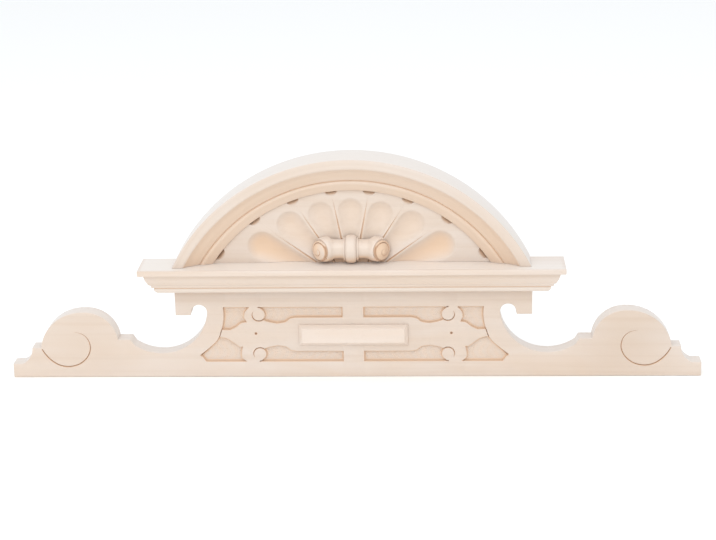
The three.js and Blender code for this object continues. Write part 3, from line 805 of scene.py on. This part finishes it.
focus_height = cornice_high[2] - shell_focus_below_seat
seat_above_focus = seat_height - focus_height
Scoop = namedtuple("Scoop", "turn axis ball depth lift cone spread end_radius")


def rim_distance(angle):
    """How far the panel's rim is from the focus, along a ray at an angle in radians from upright."""
    drop = arch_centre_height - focus_height
    return drop * np.cos(angle) + np.sqrt(shell_radius**2 - (drop * np.sin(angle)) ** 2)


def scoop_of(lobe):
    """A lobe's hollow, a cone with its point at the focus that ends in a ball: its turn from upright, the
    ball's distance and radius, how deep it goes, the tilt of its axis, the cone's half angle, and the
    hollow's half angle and end radius in the face."""
    turn = math.radians(lobe * lobe_pitch)
    length = float(rim_distance(turn)) - scoop_rim_margins[abs(lobe)]
    end_radius = length * scoop_width_share / 2 / (1 + scoop_width_share / 2)
    axis = length - end_radius
    depth = length * scoop_depth_share
    ball = (end_radius**2 + depth**2) / (2 * depth)
    lift = math.asin((ball - depth) / axis)
    spread = math.asin(end_radius / (axis * math.cos(lift)))
    return Scoop(turn, axis, ball, depth, lift, math.asin(ball / axis), spread, end_radius)


scoops = {lobe: scoop_of(lobe) for lobe in lobes}
notch_rays = np.radians((np.arange(8) - 3.5) * lobe_pitch)
notches = [(ray, float(rim_distance(ray)) + notch_outset) for ray in notch_rays]


def scoop_depth(scoop, angle, reach, soft):
    """Depth of a hollow at a polar place about the focus. On the cone it is the root of the quadratic that
    puts the point on the cone's flank, and past the ball's tangent circle it is the ball's own depth. The soft
    size rounds the edge: half of the depth plus the root of its square and the soft size's square. A little
    past the hollow's sides it fades to nothing."""
    turn = angle - scoop.turn
    along, across = reach * np.cos(turn), reach * np.sin(turn)
    steep = math.cos(scoop.cone) ** 2 - math.sin(scoop.lift) ** 2
    middle = along * math.cos(scoop.lift) * math.sin(scoop.lift)
    level = (along * math.cos(scoop.lift)) ** 2 - (reach * math.cos(scoop.cone)) ** 2
    on_cone = (-middle + np.sqrt(np.maximum(middle**2 + steep * level, 0))) / steep
    run = along * math.cos(scoop.lift) - on_cone * math.sin(scoop.lift)
    away = (along - scoop.axis * math.cos(scoop.lift)) ** 2 + across**2
    on_ball = scoop.depth - scoop.ball + np.sqrt(np.maximum(scoop.ball**2 - away, 0))
    raw = np.where(run > scoop.axis * math.cos(scoop.cone) ** 2, on_ball, on_cone)
    mask = np.clip((scoop.spread + math.radians(1.2) - np.abs(turn)) / math.radians(0.6), 0, 1)
    return 0.5 * (raw + np.sqrt(raw**2 + soft**2)) * mask


def shell_columns():
    """Angles of the panel's columns from the left corner to the right one. Each comes with the name of its
    stretch: margin, border, scoop, or line, where the three columns of a V-cut line lie. The free column that
    is nearest to each side of a notch moves onto it."""
    corner_x = math.sqrt(shell_radius**2 - (seat_height - arch_centre_height) ** 2)
    corner = math.acos(seat_above_focus / math.hypot(corner_x, seat_above_focus))
    stretches = []
    edge = -corner
    for lobe, scoop in scoops.items():
        start, end = scoop.turn - scoop.spread, scoop.turn + scoop.spread
        if lobe == lobes[0]:
            stretches.append(("margin", np.linspace(edge, start, margin_columns)[:-1]))
        else:
            stretches.append(("border", [edge + 0.15 * (start - edge)]))
            stretches += [(kind, [(edge + start) / 2]) for kind in ("line left", "line", "line right")]
            stretches.append(("border", [start - 0.15 * (start - edge)]))
        stretches.append((f"scoop {lobe}", np.linspace(start, end, scoop_columns)))
        edge = end
    stretches.append(("margin", np.linspace(edge, corner, margin_columns)[1:]))
    kinds, angles = zip(*stretches)
    kinds, angles = np.repeat(kinds, [len(part) for part in angles]), np.concatenate(angles)
    free = np.char.startswith(kinds, "scoop") | (kinds == "margin")
    free[[0, -1]] = False
    for ray, centre in notches:
        half = math.asin(min(1, math.sqrt(notch_radius**2 - notch_outset**2) / centre))
        for edge in (ray - half, ray + half):
            angles[np.where(free, np.abs(angles - edge), 1e3).argmin()] = edge
    return angles, kinds


def on_panel(reach, angle, depth):
    """Points of the panel from polar places about the focus and depths behind its front."""
    return np.stack([reach * np.sin(angle), shell_front + depth, focus_height + reach * np.cos(angle)], axis=-1)


def chord_of_circle(centre, radius, turn):
    """Where rays from the focus meet a circle: the nearer and the farther distance, at each turn from the ray
    through its centre, and whether they meet it. Where they don't, both are the foot of its centre on the
    ray: the centre's distance times the turn's cosine."""
    inside = radius**2 - (centre * np.sin(turn)) ** 2
    half = np.sqrt(np.maximum(inside, 0))
    return centre * np.cos(turn) - half, centre * np.cos(turn) + half, inside > 0


def notched_rim(angles, rim):
    """How far the panel's flat face reaches at each column, to the rim or to a notch's edge, and how deep the
    notch there is."""
    bound, sunk = rim.copy(), np.zeros(len(angles))
    for ray, centre in notches:
        near, _, met = chord_of_circle(centre, notch_radius, angles - ray)
        hit = met & (near < rim + 0.05) & (np.abs(angles - ray) < 0.3)
        bound = np.where(hit, np.minimum(near, rim), bound)
        sunk = np.where(hit, notch_depth, sunk)
    return bound, sunk


def scoop_ends(angles, kinds, seat, bound):
    """How far from the focus the hollows end at each column. Between two hollows it is an even run from one's
    share of the way to the next one's."""
    ends = np.full(len(angles), np.nan)
    for lobe, scoop in scoops.items():
        _, far, _ = chord_of_circle(scoop.axis * math.cos(scoop.lift), scoop.end_radius, angles - scoop.turn)
        ends = np.where(kinds == f"scoop {lobe}", far, ends)
    known = ~np.isnan(ends)
    share = (ends[known] - seat[known]) / (bound[known] - seat[known])
    share = np.interp(angles, angles[known], share)
    return np.where(known, ends, seat + share * (bound - seat))


def shell_cut(front, depth, kinds, taper):
    """The panel's painted tone. A hollow's painted shade follows its depth, a line's burn and painted shade
    follows its taper, and painted shade darkens the panel low behind the roll."""
    cut = np.zeros_like(depth)
    # Painted shade in each hollow, by its depth
    for lobe, tint in zip(lobes, scoop_shades):
        mine = kinds == f"scoop {lobe}"
        cut[:, mine] = tint * depth[:, mine] / scoops[lobe].depth
    # Burn and painted shade in the lobe lines, by their taper
    line = kinds == "line"
    cut[:, line] = np.clip(taper[:, line] * lobe_line_tint, 0, lobe_line_most_tint)
    # Painted shade on the panel low behind the roll
    low = np.clip((seat_height + roll_shade_height - front[..., 2]) / roll_shade_height_fade, 0, 1)
    central = np.clip((roll_shade_half_width - np.abs(front[..., 0])) / roll_shade_width_fade, 0, 1)
    return np.maximum(cut, roll_shade_tint * low * central)


def shell_mesh(sizes):
    """The panel's front in polar places about the focus. Rows run from the seat to the ends of the hollows and
    on to the rim or to a notch's edge, so that hollows, lines and notches all have whole edges."""
    angles, kinds = shell_columns()
    seat = seat_above_focus / np.cos(angles)
    rim = rim_distance(angles)
    rim[[0, -1]] = seat[[0, -1]]
    bound, sunk = notched_rim(angles, rim)
    ends = scoop_ends(angles, kinds, seat, bound)
    inner = np.linspace(0, 1, scoop_rows)[:, None]
    outer = np.linspace(0, 1, rim_rows)[1:, None]
    reach = np.vstack([seat + inner * (ends - seat), ends + outer * (bound - ends)])
    angle = np.broadcast_to(angles, reach.shape).copy()
    line_end = float(rim_distance(0)) - lobe_line_rim_margin
    taper = np.clip((line_end - reach) / lobe_line_taper_run, 0, 1.05)
    half_angle = np.maximum(lobe_line_half_width * taper, lobe_line_least_half_width) / reach
    half_angle = np.minimum(half_angle, math.radians(lobe_line_most_half_angle))
    for side, kind in ((-1, "line left"), (1, "line right")):
        angle[:, kinds == kind] += side * half_angle[:, kinds == kind]
    reach[:scoop_rows] += (1 - inner) * (seat_above_focus / np.cos(angle[0]) - seat)

    soft = sizes.soft_edge / MM
    depth = np.max([scoop_depth(scoop, angle, reach, soft) for scoop in scoops.values()], axis=0)
    line = kinds == "line"
    depth[:, line] = np.maximum(depth[:, line], lobe_line_depth * taper[:, line] + 0.02)
    front = on_panel(reach, angle, depth)

    fall = np.linspace(0, 1, notch_rows)[:, None]
    slope = notch_sill_share + (1 - notch_sill_share) * fall**notch_slope_power
    notch = on_panel(bound + fall * (rim - bound), angle[-1], sunk * slope)
    backs = [row * [1, 0, 1] + [0, board_back, 0] for row in (front[0], notch[-1])]
    plain = np.zeros((1, len(angles)))
    # The notches darken with painted shade towards their deepest
    cuts = [plain, shell_cut(front, depth, kinds, taper), notch_shade * fall * (sunk > 0), plain]
    surface = Surface()
    grid = np.concatenate([backs[:1], front, notch, backs[1:]])
    surface.add_grid(grid, closed_rows=True, cut=np.concatenate(cuts))
    return surface.closed_mesh("shell_carved")


# Scroll bolster

bolster_height = (bolster_bottom + bolster_top) / 2


def roll_surface(sizes):
    """The turned roll: its profile, mirrored about the middle, turned round an axis along X."""
    drum = curve_through(drum_profile, 20)
    half = softened(np.vstack([ring_profile, drum[1:], [(drum[-1, 0], 0)]]), sizes.turning_ease / MM, 3)
    along, radius = np.vstack([half[:0:-1] * [-1, 1], half]).T[:, :, None]
    angle = np.radians(np.linspace(0, 360, roll_columns + 1))[:-1]
    x = np.broadcast_to(along, (len(along), len(angle)))
    surface = Surface()
    grid = [x, bolster_back - radius * np.cos(angle), bolster_height + radius * np.sin(angle)]
    surface.add_grid(np.stack(grid, axis=-1), closed_columns=True)
    return surface


def scroll_line(radius, angle):
    """Depth and darkness, 0 to 1, of the spiral line in a scroll's face; the darkness is burn and painted shade.
    Clockwise from its lower outer end, the line's radius and strength follow tables of its turns, and its
    section is a V."""
    depth, dark = np.zeros_like(radius), np.zeros_like(radius)
    for lap in (0, 1):
        turn = (math.radians(scroll_line_start) - angle) / (2 * math.pi) % 1 + lap
        power = np.interp(turn, scroll_line_turns, scroll_line_strengths)
        power = np.where(turn <= scroll_line_turns[-1], power, 0)
        away = np.abs(radius - np.interp(turn, scroll_line_turns, scroll_line_radii))
        valley = np.clip(1 - away / (0.4 + 0.5 * power), 0, 1)
        depth = np.maximum(depth, valley * power)
        dark = np.maximum(dark, np.minimum(1, 3 * valley) * power**0.7)
    return depth, dark


def scroll_axes(side):
    """A scroll's own axis, seen from above, and the direction across it, both turned outwards."""
    turned = math.radians(scroll_turn) * side
    return np.array([math.sin(turned), -math.cos(turned)]), np.array([math.cos(turned), math.sin(turned)])


def scroll_surface(side, sizes):
    """A volute scroll: its profile turned about its own axis, with the spiral line cut into its face. The axis
    is then turned outwards."""
    rim = scroll_radius - scroll_rim_ease
    shoulder = scroll_band_height - 1.3
    foot = np.array([
        (0, 0), (scroll_foot_radius, 0), scroll_neck, (scroll_band_radius, scroll_band_height),
        (scroll_radius + 0.7, shoulder), (scroll_radius, shoulder),
    ])
    inward = np.linspace(rim, 0, scroll_face_rows + 1)[:-1]
    share = np.clip((rim - inward) / (rim - scroll_eye_radius), 0, 1)
    radius, height = np.vstack([
        softened(foot, sizes.turning_ease / MM, 3),
        arc(rim, scroll_length - scroll_rim_ease, scroll_rim_ease, 0, 80, 16),
        np.column_stack([inward, scroll_length + scroll_dome * share]),
        [(0, scroll_length + scroll_dome)],
    ]).T[:, :, None]
    angle = np.radians(np.linspace(0, 360, scroll_columns + 1))[:-1]
    radius = np.broadcast_to(radius, (len(radius), len(angle)))
    groove, _ = scroll_line(radius, angle)
    on_face = height > scroll_band_height + 1
    height = height - sizes.scroll_line_depth / MM * groove * on_face - scroll_length
    sideways = side * radius * np.cos(angle)
    out, across = scroll_axes(side)
    x = side * scroll_centre + sideways * across[0] + height * out[0]
    y = bolster_back - scroll_reach + sideways * across[1] + height * out[1]
    surface = Surface()
    grid = np.stack([x, y, bolster_height + radius * np.sin(angle)], axis=-1)
    surface.add_grid(grid, closed_columns=True)
    return surface


def bolster_cut(points):
    """The bolster's painted tone at each point, found from its place. The underside of the roll gets painted
    shade by the cube of how far it faces down. A scroll's face gets a warm painted shade, stronger on its outer
    side and on the right scroll, and its spiral line burn and painted shade."""
    rise = points[:, 2] - bolster_height
    down = -rise / np.maximum(np.hypot(points[:, 1] - bolster_back, rise), 1e-6)
    # Painted shade on the roll's underside, by how far it faces down
    cut = painted_underside_shade * np.clip(down, 0, 1) ** 3
    for side in (1, -1):
        out, across = scroll_axes(side)
        place = points[:, :2] - [side * scroll_centre, bolster_back - scroll_reach]
        height = place @ out + scroll_length
        sideways = side * (place @ across)
        radius, angle = np.hypot(sideways, rise), np.arctan2(rise, sideways)
        _, line_tint = scroll_line(radius, angle)
        # Warm painted shade on the scroll's face, and burn and painted shade in its spiral line
        face_shade = scroll_face_shade + scroll_face_shade_right * side + scroll_face_shade_outer * np.cos(angle)
        on_face = (height > scroll_band_height + 1) & (radius < scroll_radius + 0.3)
        cut = np.where(on_face, np.maximum(line_tint, face_shade), cut)
    return cut


def bolster_mesh(sizes):
    """The roll and both scrolls joined into one closed mesh and cut flat at the panel's face."""
    surfaces = [roll_surface(sizes), scroll_surface(1, sizes), scroll_surface(-1, sizes)]
    blanks = [bpy.data.objects.new("blank", surface.closed_mesh("blank")) for surface in surfaces]
    for blank in blanks:
        bpy.context.scene.collection.objects.link(blank)
    for scroll in blanks[1:]:
        join = blanks[0].modifiers.new("join", "BOOLEAN")
        join.operation = "UNION"
        join.solver = "EXACT"
        join.object = scroll
    graph = bpy.context.evaluated_depsgraph_get()
    mesh = bpy.data.meshes.new_from_object(blanks[0].evaluated_get(graph))
    for blank in blanks:
        bpy.data.objects.remove(blank)
    work = bmesh.new()
    work.from_mesh(mesh)
    everything = work.verts[:] + work.edges[:] + work.faces[:]
    plane = Vector((0, bolster_back * MM, 0))
    bmesh.ops.bisect_plane(work, geom=everything, plane_co=plane, plane_no=(0, 1, 0), clear_outer=True)
    bmesh.ops.edgeloop_fill(work, edges=[edge for edge in work.edges if edge.is_boundary])
    bmesh.ops.triangulate(work, faces=[face for face in work.faces if len(face.verts) > 4])
    write_outward(work, mesh)
    mesh.name = "bolster_turned"
    mesh.attributes["cut"].data.foreach_set("value", bolster_cut(mesh_points(mesh)))
    return mesh


# Materials, with places in metres

# Darker patches on the board's wings: their radius, then each one's place in X and Z and its strength
patch_radius = 0.1
board_dark_patches = (((-0.39, 0.06), 0.25), ((0.39, 0.06), 0.5))


def linear(colour):
    """A display colour, 0 to 1, as linear light."""
    colour = np.asarray(colour, float)
    low = colour / 12.92
    high = ((colour + 0.055) / 1.055) ** 2.4
    return tuple(np.where(colour <= 0.04045, low, high)) + (1.0,)


def pale_wood(name, look, tone, figure_turn=0.0, dark_patches=()):
    """Bare pale wood. Broad drifts of tone, long fibres and short flecks, all drawn out along the grain, shade
    the colour. Each dark patch fades evenly from its middle, given as its place in X and Z and its strength.
    As each point's painted tone says, hollows get a warmer painted shade, partly their fresh-cut wood, lines
    burn and painted shade, undersides darker painted shade, and tops and edges a paler painted highlight. The
    fibres also lift the surface."""
    material = bpy.data.materials.new(name)
    material.use_nodes = True
    tree = material.node_tree

    def joined(node, inputs):
        for socket, value in inputs.items():
            if isinstance(value, bpy.types.NodeSocket):
                tree.links.new(value, node.inputs[socket])
            else:
                node.inputs[socket].default_value = value

    def added(kind, output, inputs, **settings):
        node = tree.nodes.new(kind)
        for setting, value in settings.items():
            setattr(node, setting, value)
        joined(node, inputs)
        return node.outputs[output]

    grain = added("ShaderNodeAttribute", "Vector", {}, attribute_name="grain")
    # Painted tone: warmer, then darker painted shade above 0, paler painted highlight below 0
    cut = added("ShaderNodeAttribute", "Fac", {}, attribute_name="cut")

    def mapped(**inputs):
        return added("ShaderNodeMapping", "Vector", {"Vector": grain, **inputs})

    def noise(scale, detail, roughness, turn=0.0, distortion=0.0):
        place = mapped(Scale=scale, Rotation=(0, turn, figure_turn))
        return added("ShaderNodeTexNoise", "Fac", {
            "Vector": place, "Scale": 1.0, "Detail": detail, "Roughness": roughness, "Distortion": distortion})

    def steep(value, dark, bright):
        ramp = tree.nodes.new("ShaderNodeValToRGB")
        for stop, place in zip(ramp.color_ramp.elements, (dark, bright)):
            stop.position = place
        joined(ramp, {"Fac": value})
        return ramp.outputs["Color"]

    def span(value, start, end, most):
        ends = {"Value": value, "From Min": start, "From Max": end, "To Max": most}
        return added("ShaderNodeMapRange", "Result", ends)

    def part(value, share):
        return added("ShaderNodeMath", 0, {0: value, 1: share}, operation="MULTIPLY")

    def blended(base, over, amount):
        inputs = {6: base, 7: over, 0: amount}
        return added("ShaderNodeMix", 2, inputs, data_type="RGBA", clamp_factor=True)

    shades = (look.light_wood, look.warm_wood, look.fibre, look.carved, look.burnished_and_shaded, look.planed)
    light, warm, fibre, carved, burnished_and_shaded, planed = (linear(np.array(shade) * tone) for shade in shades)
    drift = steep(noise((5, 22, 22), 3, 0.55, distortion=0.6), 0.34, 0.68)
    rings = steep(noise((2.2, 210, 130), 4, 0.6, turn=0.02, distortion=0.4), 0.48, 0.72)
    flecks = steep(noise((190, 1500, 1300), 2, 0.5), 0.64, 0.76)
    colour = blended(light, warm, drift)
    colour = blended(colour, fibre, part(rings, look.figure))
    colour = blended(colour, fibre, part(flecks, look.flecks))
    for (x, z), strength in dark_patches:
        place = mapped(Scale=(1 / patch_radius,) * 3, Location=(-x / patch_radius, 0, -z / patch_radius))
        patch = added("ShaderNodeTexGradient", "Fac", {"Vector": place}, gradient_type="SPHERICAL")
        colour = blended(colour, fibre, part(patch, strength))
    # Painted shade, with burn in lines, warms and darkens the colour, and painted highlight makes it paler
    colour = blended(colour, carved, span(cut, 0, 0.2, look.carved_share))
    colour = blended(colour, burnished_and_shaded, span(cut, 0.2, 1, look.burnish_and_shade))
    colour = blended(colour, planed, span(cut, 0, -1, 1))
    roughness = {"Value": rings, "To Min": look.roughness - 0.07, "To Max": look.roughness + 0.07}
    lift = {"Height": noise((60, 1500, 1500), 3, 0.6), "Strength": 0.35, "Distance": look.grain_lift}
    joined(tree.nodes["Principled BSDF"], {
        "Base Color": colour,
        "Roughness": added("ShaderNodeMapRange", "Result", roughness),
        "Specular IOR Level": 0.45,
        "Sheen Weight": look.sheen,
        "Sheen Roughness": 0.5,
        "Normal": added("ShaderNodeBump", "Normal", lift),
    })
    return material


# Settings that a user would change

def length(name, description, millimetres):
    """A length setting, shown in the scene's unit."""
    return FloatProperty(name=name, description=description, default=millimetres * MM, unit="LENGTH",
                         precision=5)


def colour(name, description, default):
    """A colour setting, in display values."""
    return FloatVectorProperty(name=name, description=description, default=default, size=3, min=0, max=1,
                               subtype="COLOR_GAMMA")


def share(name, description, default):
    """A setting between nothing and one."""
    return FloatProperty(name=name, description=description, default=default, min=0, max=1, subtype="FACTOR")


def angle(name, description, degrees):
    """An angle setting."""
    return FloatProperty(name=name, description=description, default=math.radians(degrees), subtype="ANGLE")


class CrestCarving(bpy.types.PropertyGroup):
    """Sizes of the carving and of the softened edges."""

    edge_ease: length("Edge ease", "How far the pieces' outer edges are sanded round", 0.9)
    ground_depth: length("Ground depth", "How deep the strapwork's ground lies below the face", 4.5)
    lip: length("Lip", "Rounding along the top of each sunk field's wall", 0.5)
    wall_run: length("Wall run", "How far a sunk field's wall slopes inwards", 0.7)
    floor_fillet: length("Floor fillet", "Width of the hollow where wall and ground meet", 0.7)
    stipple: length("Stipple", "Height of the punch marks on the ground", 0.28)
    stipple_pitch: length("Stipple pitch", "Distance between the ground's points", 0.75)
    volute_line_width: length("Volute line width", "Width of the line cut in each wing", 2.6)
    volute_line_depth: length("Volute line depth", "Depth of the line cut in each wing", 2.2)
    tablet_edge: length("Tablet edge", "Height of the tablet's upright edge", 2.5)
    tablet_bevel_run: length("Tablet bevel run", "Width of the tablet's bevel, seen from the front", 5.0)
    tablet_ease: length("Tablet ease", "Rounding of the tablet's edges", 0.5)
    soft_edge: length("Soft edge", "Rounding along the edges of the shell's hollows", 0.8)
    turning_ease: length("Turning ease", "Rounding of the bolster's turned edges", 0.35)
    scroll_line_depth: length("Scroll line depth", "Depth of the spiral line on each scroll", 1.8)


class CrestWood(bpy.types.PropertyGroup):
    """Colours and figure of the bare wood, and the colours of its painted shade and painted highlight."""

    light_wood: colour("Light wood", "The wood's lighter tone", (0.841, 0.776, 0.722))
    # Paler colour of the painted highlight on tops, the cornice's bead and the board's edges
    planed: colour("Planed wood", "The paler wood of planed tops", (0.862, 0.806, 0.752))
    warm_wood: colour("Warm wood", "The wood's warmer tone", (0.832, 0.751, 0.680))
    fibre: colour("Fibre", "Darker fibres and flecks", (0.750, 0.644, 0.543))
    # Darker brown above a painted tone of 0.2: burn and painted shade in lines, painted shade elsewhere
    burnished_and_shaded: colour("Burnished", "Cut lines, rubbed by the tool", (0.593, 0.402, 0.258))
    # Warmer colour up to a painted tone of 0.2: warm painted shade in hollows and recesses, partly fresh-cut wood
    carved: colour("Carved wood", "Fresh wood of the carved hollows", (0.876, 0.741, 0.612))
    carved_share: share("Carved share", "How strongly the hollows differ from the face", 0.8)
    figure: share("Figure", "How strongly the long fibres show", 0.22)
    flecks: share("Flecks", "How strongly the short flecks show", 0.3)
    # How strongly the burn and painted shade darken lines, notches and undersides
    burnish_and_shade: share("Burnish", "How strongly cut lines are darkened", 0.75)
    roughness: share("Roughness", "Roughness of the sanded wood", 0.5)
    sheen: share("Sheen", "Pale sheen of the raised fibres, seen at a flat angle", 0.3)
    grain_lift: length("Grain lift", "Height of the fibres on the surface", 0.12)


class CrestStage(bpy.types.PropertyGroup):
    """Floor, lights and camera."""

    floor: colour("Floor", "Colour of the floor", (1.0, 0.982, 0.955))
    main_power: FloatProperty(name="Main light", description="Power of the broad light high in front",
                              default=44.0, unit="POWER")
    front_power: FloatProperty(name="Front light", description="Power of the weaker light lower in front",
                               default=5.0, unit="POWER")
    fill: FloatProperty(name="Fill light", description="Brightness of the even light from all round",
                        default=0.96)
    lens: FloatProperty(name="Lens", description="Focal length on a 36 mm sensor", default=85.85)
    camera_place: FloatVectorProperty(name="Camera", description="Where the camera stands", size=3,
                                      default=(0.125644, -2.312414, 0.940735), subtype="TRANSLATION",
                                      unit="LENGTH")
    camera_yaw: angle("Yaw", "Camera's turn to the left", 2.913)
    camera_pitch: angle("Pitch", "How far the camera looks down", 18.652)
    camera_roll: angle("Roll", "Camera's turn about its own line of sight", -1.241)


# Operators

def place_piece(context, mesh, node, wood, sharp=32.0, grain=None):
    """Gives a piece's mesh its shading, with edges sharper than the angle kept crisp, its grain attribute and
    its wood, and puts it in the place of its node. Wood is the name, the tone and what else pale_wood() takes.
    Grain is a function that gives each point its place in the wood, which is otherwise its place in space."""
    mesh.shade_smooth()
    mesh.set_sharp_from_angle(angle=math.radians(sharp))
    points = mesh_points(mesh)
    place = (grain(points) if grain else points) * MM
    mesh.attributes.new("grain", "FLOAT_VECTOR", "POINT").data.foreach_set("vector", place.ravel())
    name, *figure = wood
    mesh.materials.append(pale_wood(name, context.scene.crest_wood, *figure))
    piece = bpy.data.objects.new(mesh.name, mesh)
    context.scene.collection.objects.link(piece)
    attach(piece, "root")
    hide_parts(node)
    return {"FINISHED"}


class CREST_OT_board(bpy.types.Operator):
    """Makes the scroll-sawn board with its carved front"""

    bl_idname = "crest.board"
    bl_label = "Crest board"

    def execute(self, context):
        mesh = board_mesh(context.scene.crest_carving)
        wood = ("board_wood", 0.99, 0.0, board_dark_patches)
        return place_piece(context, mesh, "crest_board", wood)


class CREST_OT_tablet(bpy.types.Operator):
    """Makes the bevelled tablet"""

    bl_idname = "crest.tablet"
    bl_label = "Tablet"

    def execute(self, context):
        mesh = tablet_mesh(context.scene.crest_carving)
        return place_piece(context, mesh, "tablet", ("tablet_wood", 1.02, 0.01))


class CREST_OT_cornice(bpy.types.Operator):
    """Makes the mitred cornice"""

    bl_idname = "crest.cornice"
    bl_label = "Cornice"

    def execute(self, context):
        mesh = cornice_mesh(context.scene.crest_carving)
        return place_piece(context, mesh, "cornice", ("cornice_wood", 1.005))


class CREST_OT_hood(bpy.types.Operator):
    """Makes the arch hood"""

    bl_idname = "crest.hood"
    bl_label = "Arch hood"

    def execute(self, context):
        mesh = hood_mesh(context.scene.crest_carving)
        return place_piece(context, mesh, "arch_hood", ("hood_wood", 0.98), grain=hood_grain)


class CREST_OT_shell(bpy.types.Operator):
    """Makes the shell panel with its hollows, lines and notches"""

    bl_idname = "crest.shell"
    bl_label = "Shell panel"

    def execute(self, context):
        mesh = shell_mesh(context.scene.crest_carving)
        return place_piece(context, mesh, "shell_panel", ("shell_wood", 0.985))


class CREST_OT_bolster(bpy.types.Operator):
    """Makes the turned bolster with a scroll at each end"""

    bl_idname = "crest.bolster"
    bl_label = "Scroll bolster"

    def execute(self, context):
        mesh = bolster_mesh(context.scene.crest_carving)
        return place_piece(context, mesh, "scroll_bolster", ("bolster_wood", 0.995), sharp=35.0)


def camera_matrix(stage):
    """The camera's place and turn: yaw about the upright, pitch down, then roll about the line of sight."""
    yaw, pitch, roll = stage.camera_yaw, stage.camera_pitch, stage.camera_roll
    right = Vector((math.cos(yaw), math.sin(yaw), 0))
    ahead = Vector((-math.sin(yaw) * math.cos(pitch), math.cos(yaw) * math.cos(pitch), -math.sin(pitch)))
    above = right.cross(ahead)
    turned_right = math.cos(roll) * right + math.sin(roll) * above
    turned_above = -math.sin(roll) * right + math.cos(roll) * above
    turn = Matrix((turned_right, turned_above, -ahead)).transposed()
    return Matrix.Translation(stage.camera_place) @ turn.to_4x4()


def soft_light(scene, name, power, size, place, tint):
    """A square area light that looks at the crest."""
    lamp = bpy.data.lights.new(name, "AREA")
    lamp.size = size
    lamp.energy = power
    lamp.color = tint
    light = bpy.data.objects.new(name, lamp)
    place = Vector(place)
    turn = (Vector((0, 0, 0.15)) - place).to_track_quat("-Z", "Y")
    light.matrix_world = Matrix.Translation(place) @ turn.to_matrix().to_4x4()
    scene.collection.objects.link(light)


class CREST_OT_stage(bpy.types.Operator):
    """Makes the floor, the lights and the camera"""

    bl_idname = "crest.stage"
    bl_label = "Stage"

    def execute(self, context):
        scene = context.scene
        stage = scene.crest_stage
        scene.view_settings.view_transform = "Standard"
        reach, drop = 9.0, 0.0005
        corners = [(-reach, -reach, -drop), (reach, -reach, -drop), (reach, reach, -drop), (-reach, reach, -drop)]
        mesh = bpy.data.meshes.new("floor")
        mesh.from_pydata(corners, [], [(0, 1, 2, 3)])
        paint = bpy.data.materials.new("floor_paint")
        paint.use_nodes = True
        shader = paint.node_tree.nodes["Principled BSDF"]
        shader.inputs["Base Color"].default_value = linear(stage.floor)
        shader.inputs["Roughness"].default_value = 0.9
        mesh.materials.append(paint)
        floor = bpy.data.objects.new("floor", mesh)
        scene.collection.objects.link(floor)

        world = bpy.data.worlds.new("soft_surround")
        world.use_nodes = True
        backdrop = world.node_tree.nodes["Background"]
        backdrop.inputs["Color"].default_value = (0.94, 1.0, 1.08, 1)
        backdrop.inputs["Strength"].default_value = stage.fill
        scene.world = world
        soft_light(scene, "front_light", stage.front_power, 1.8, (-0.4, -2.2, 1.5), (0.92, 0.98, 1.0))
        soft_light(scene, "main_light", stage.main_power, 3.0, (-0.2, -1.65, 2.25), (0.88, 0.95, 1.0))

        lens = bpy.data.cameras.new("camera")
        lens.sensor_width = 36
        lens.lens = stage.lens
        lens.clip_end = 60
        camera = bpy.data.objects.new("camera", lens)
        camera.matrix_world = camera_matrix(stage)
        scene.collection.objects.link(camera)
        scene.camera = camera
        return {"FINISHED"}


class CREST_PT_panel(bpy.types.Panel):
    """Lists the crest's pieces and settings in the sidebar"""

    bl_label = "Cabinet crest"
    bl_idname = "CREST_PT_panel"
    bl_space_type = "VIEW_3D"
    bl_region_type = "UI"
    bl_category = "Crest"

    def draw(self, context):
        for operator in OPERATORS:
            self.layout.operator(operator.bl_idname)
        for group in (context.scene.crest_carving, context.scene.crest_wood, context.scene.crest_stage):
            box = self.layout.box()
            for setting in group.bl_rna.properties:
                if setting.identifier not in ("rna_type", "name"):
                    box.prop(group, setting.identifier)


GROUPS = {"crest_carving": CrestCarving, "crest_wood": CrestWood, "crest_stage": CrestStage}
OPERATORS = (CREST_OT_board, CREST_OT_tablet, CREST_OT_cornice, CREST_OT_hood, CREST_OT_shell,
             CREST_OT_bolster, CREST_OT_stage)


def register():
    """Registers the settings, operators and panel."""
    for name, group in GROUPS.items():
        bpy.utils.register_class(group)
        setattr(bpy.types.Scene, name, PointerProperty(type=group))
    for cls in (*OPERATORS, CREST_PT_panel):
        bpy.utils.register_class(cls)


def unregister():
    """Takes the panel, operators and settings away again."""
    for cls in (CREST_PT_panel, *reversed(OPERATORS)):
        bpy.utils.unregister_class(cls)
    for name, group in reversed(GROUPS.items()):
        delattr(bpy.types.Scene, name)
        bpy.utils.unregister_class(group)


def main():
    """Makes every piece and the stage."""
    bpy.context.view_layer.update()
    register()
    bpy.ops.crest.board()
    bpy.ops.crest.tablet()
    bpy.ops.crest.cornice()
    bpy.ops.crest.hood()
    bpy.ops.crest.shell()
    bpy.ops.crest.bolster()
    bpy.ops.crest.stage()


if __name__ == "__main__":
    main()
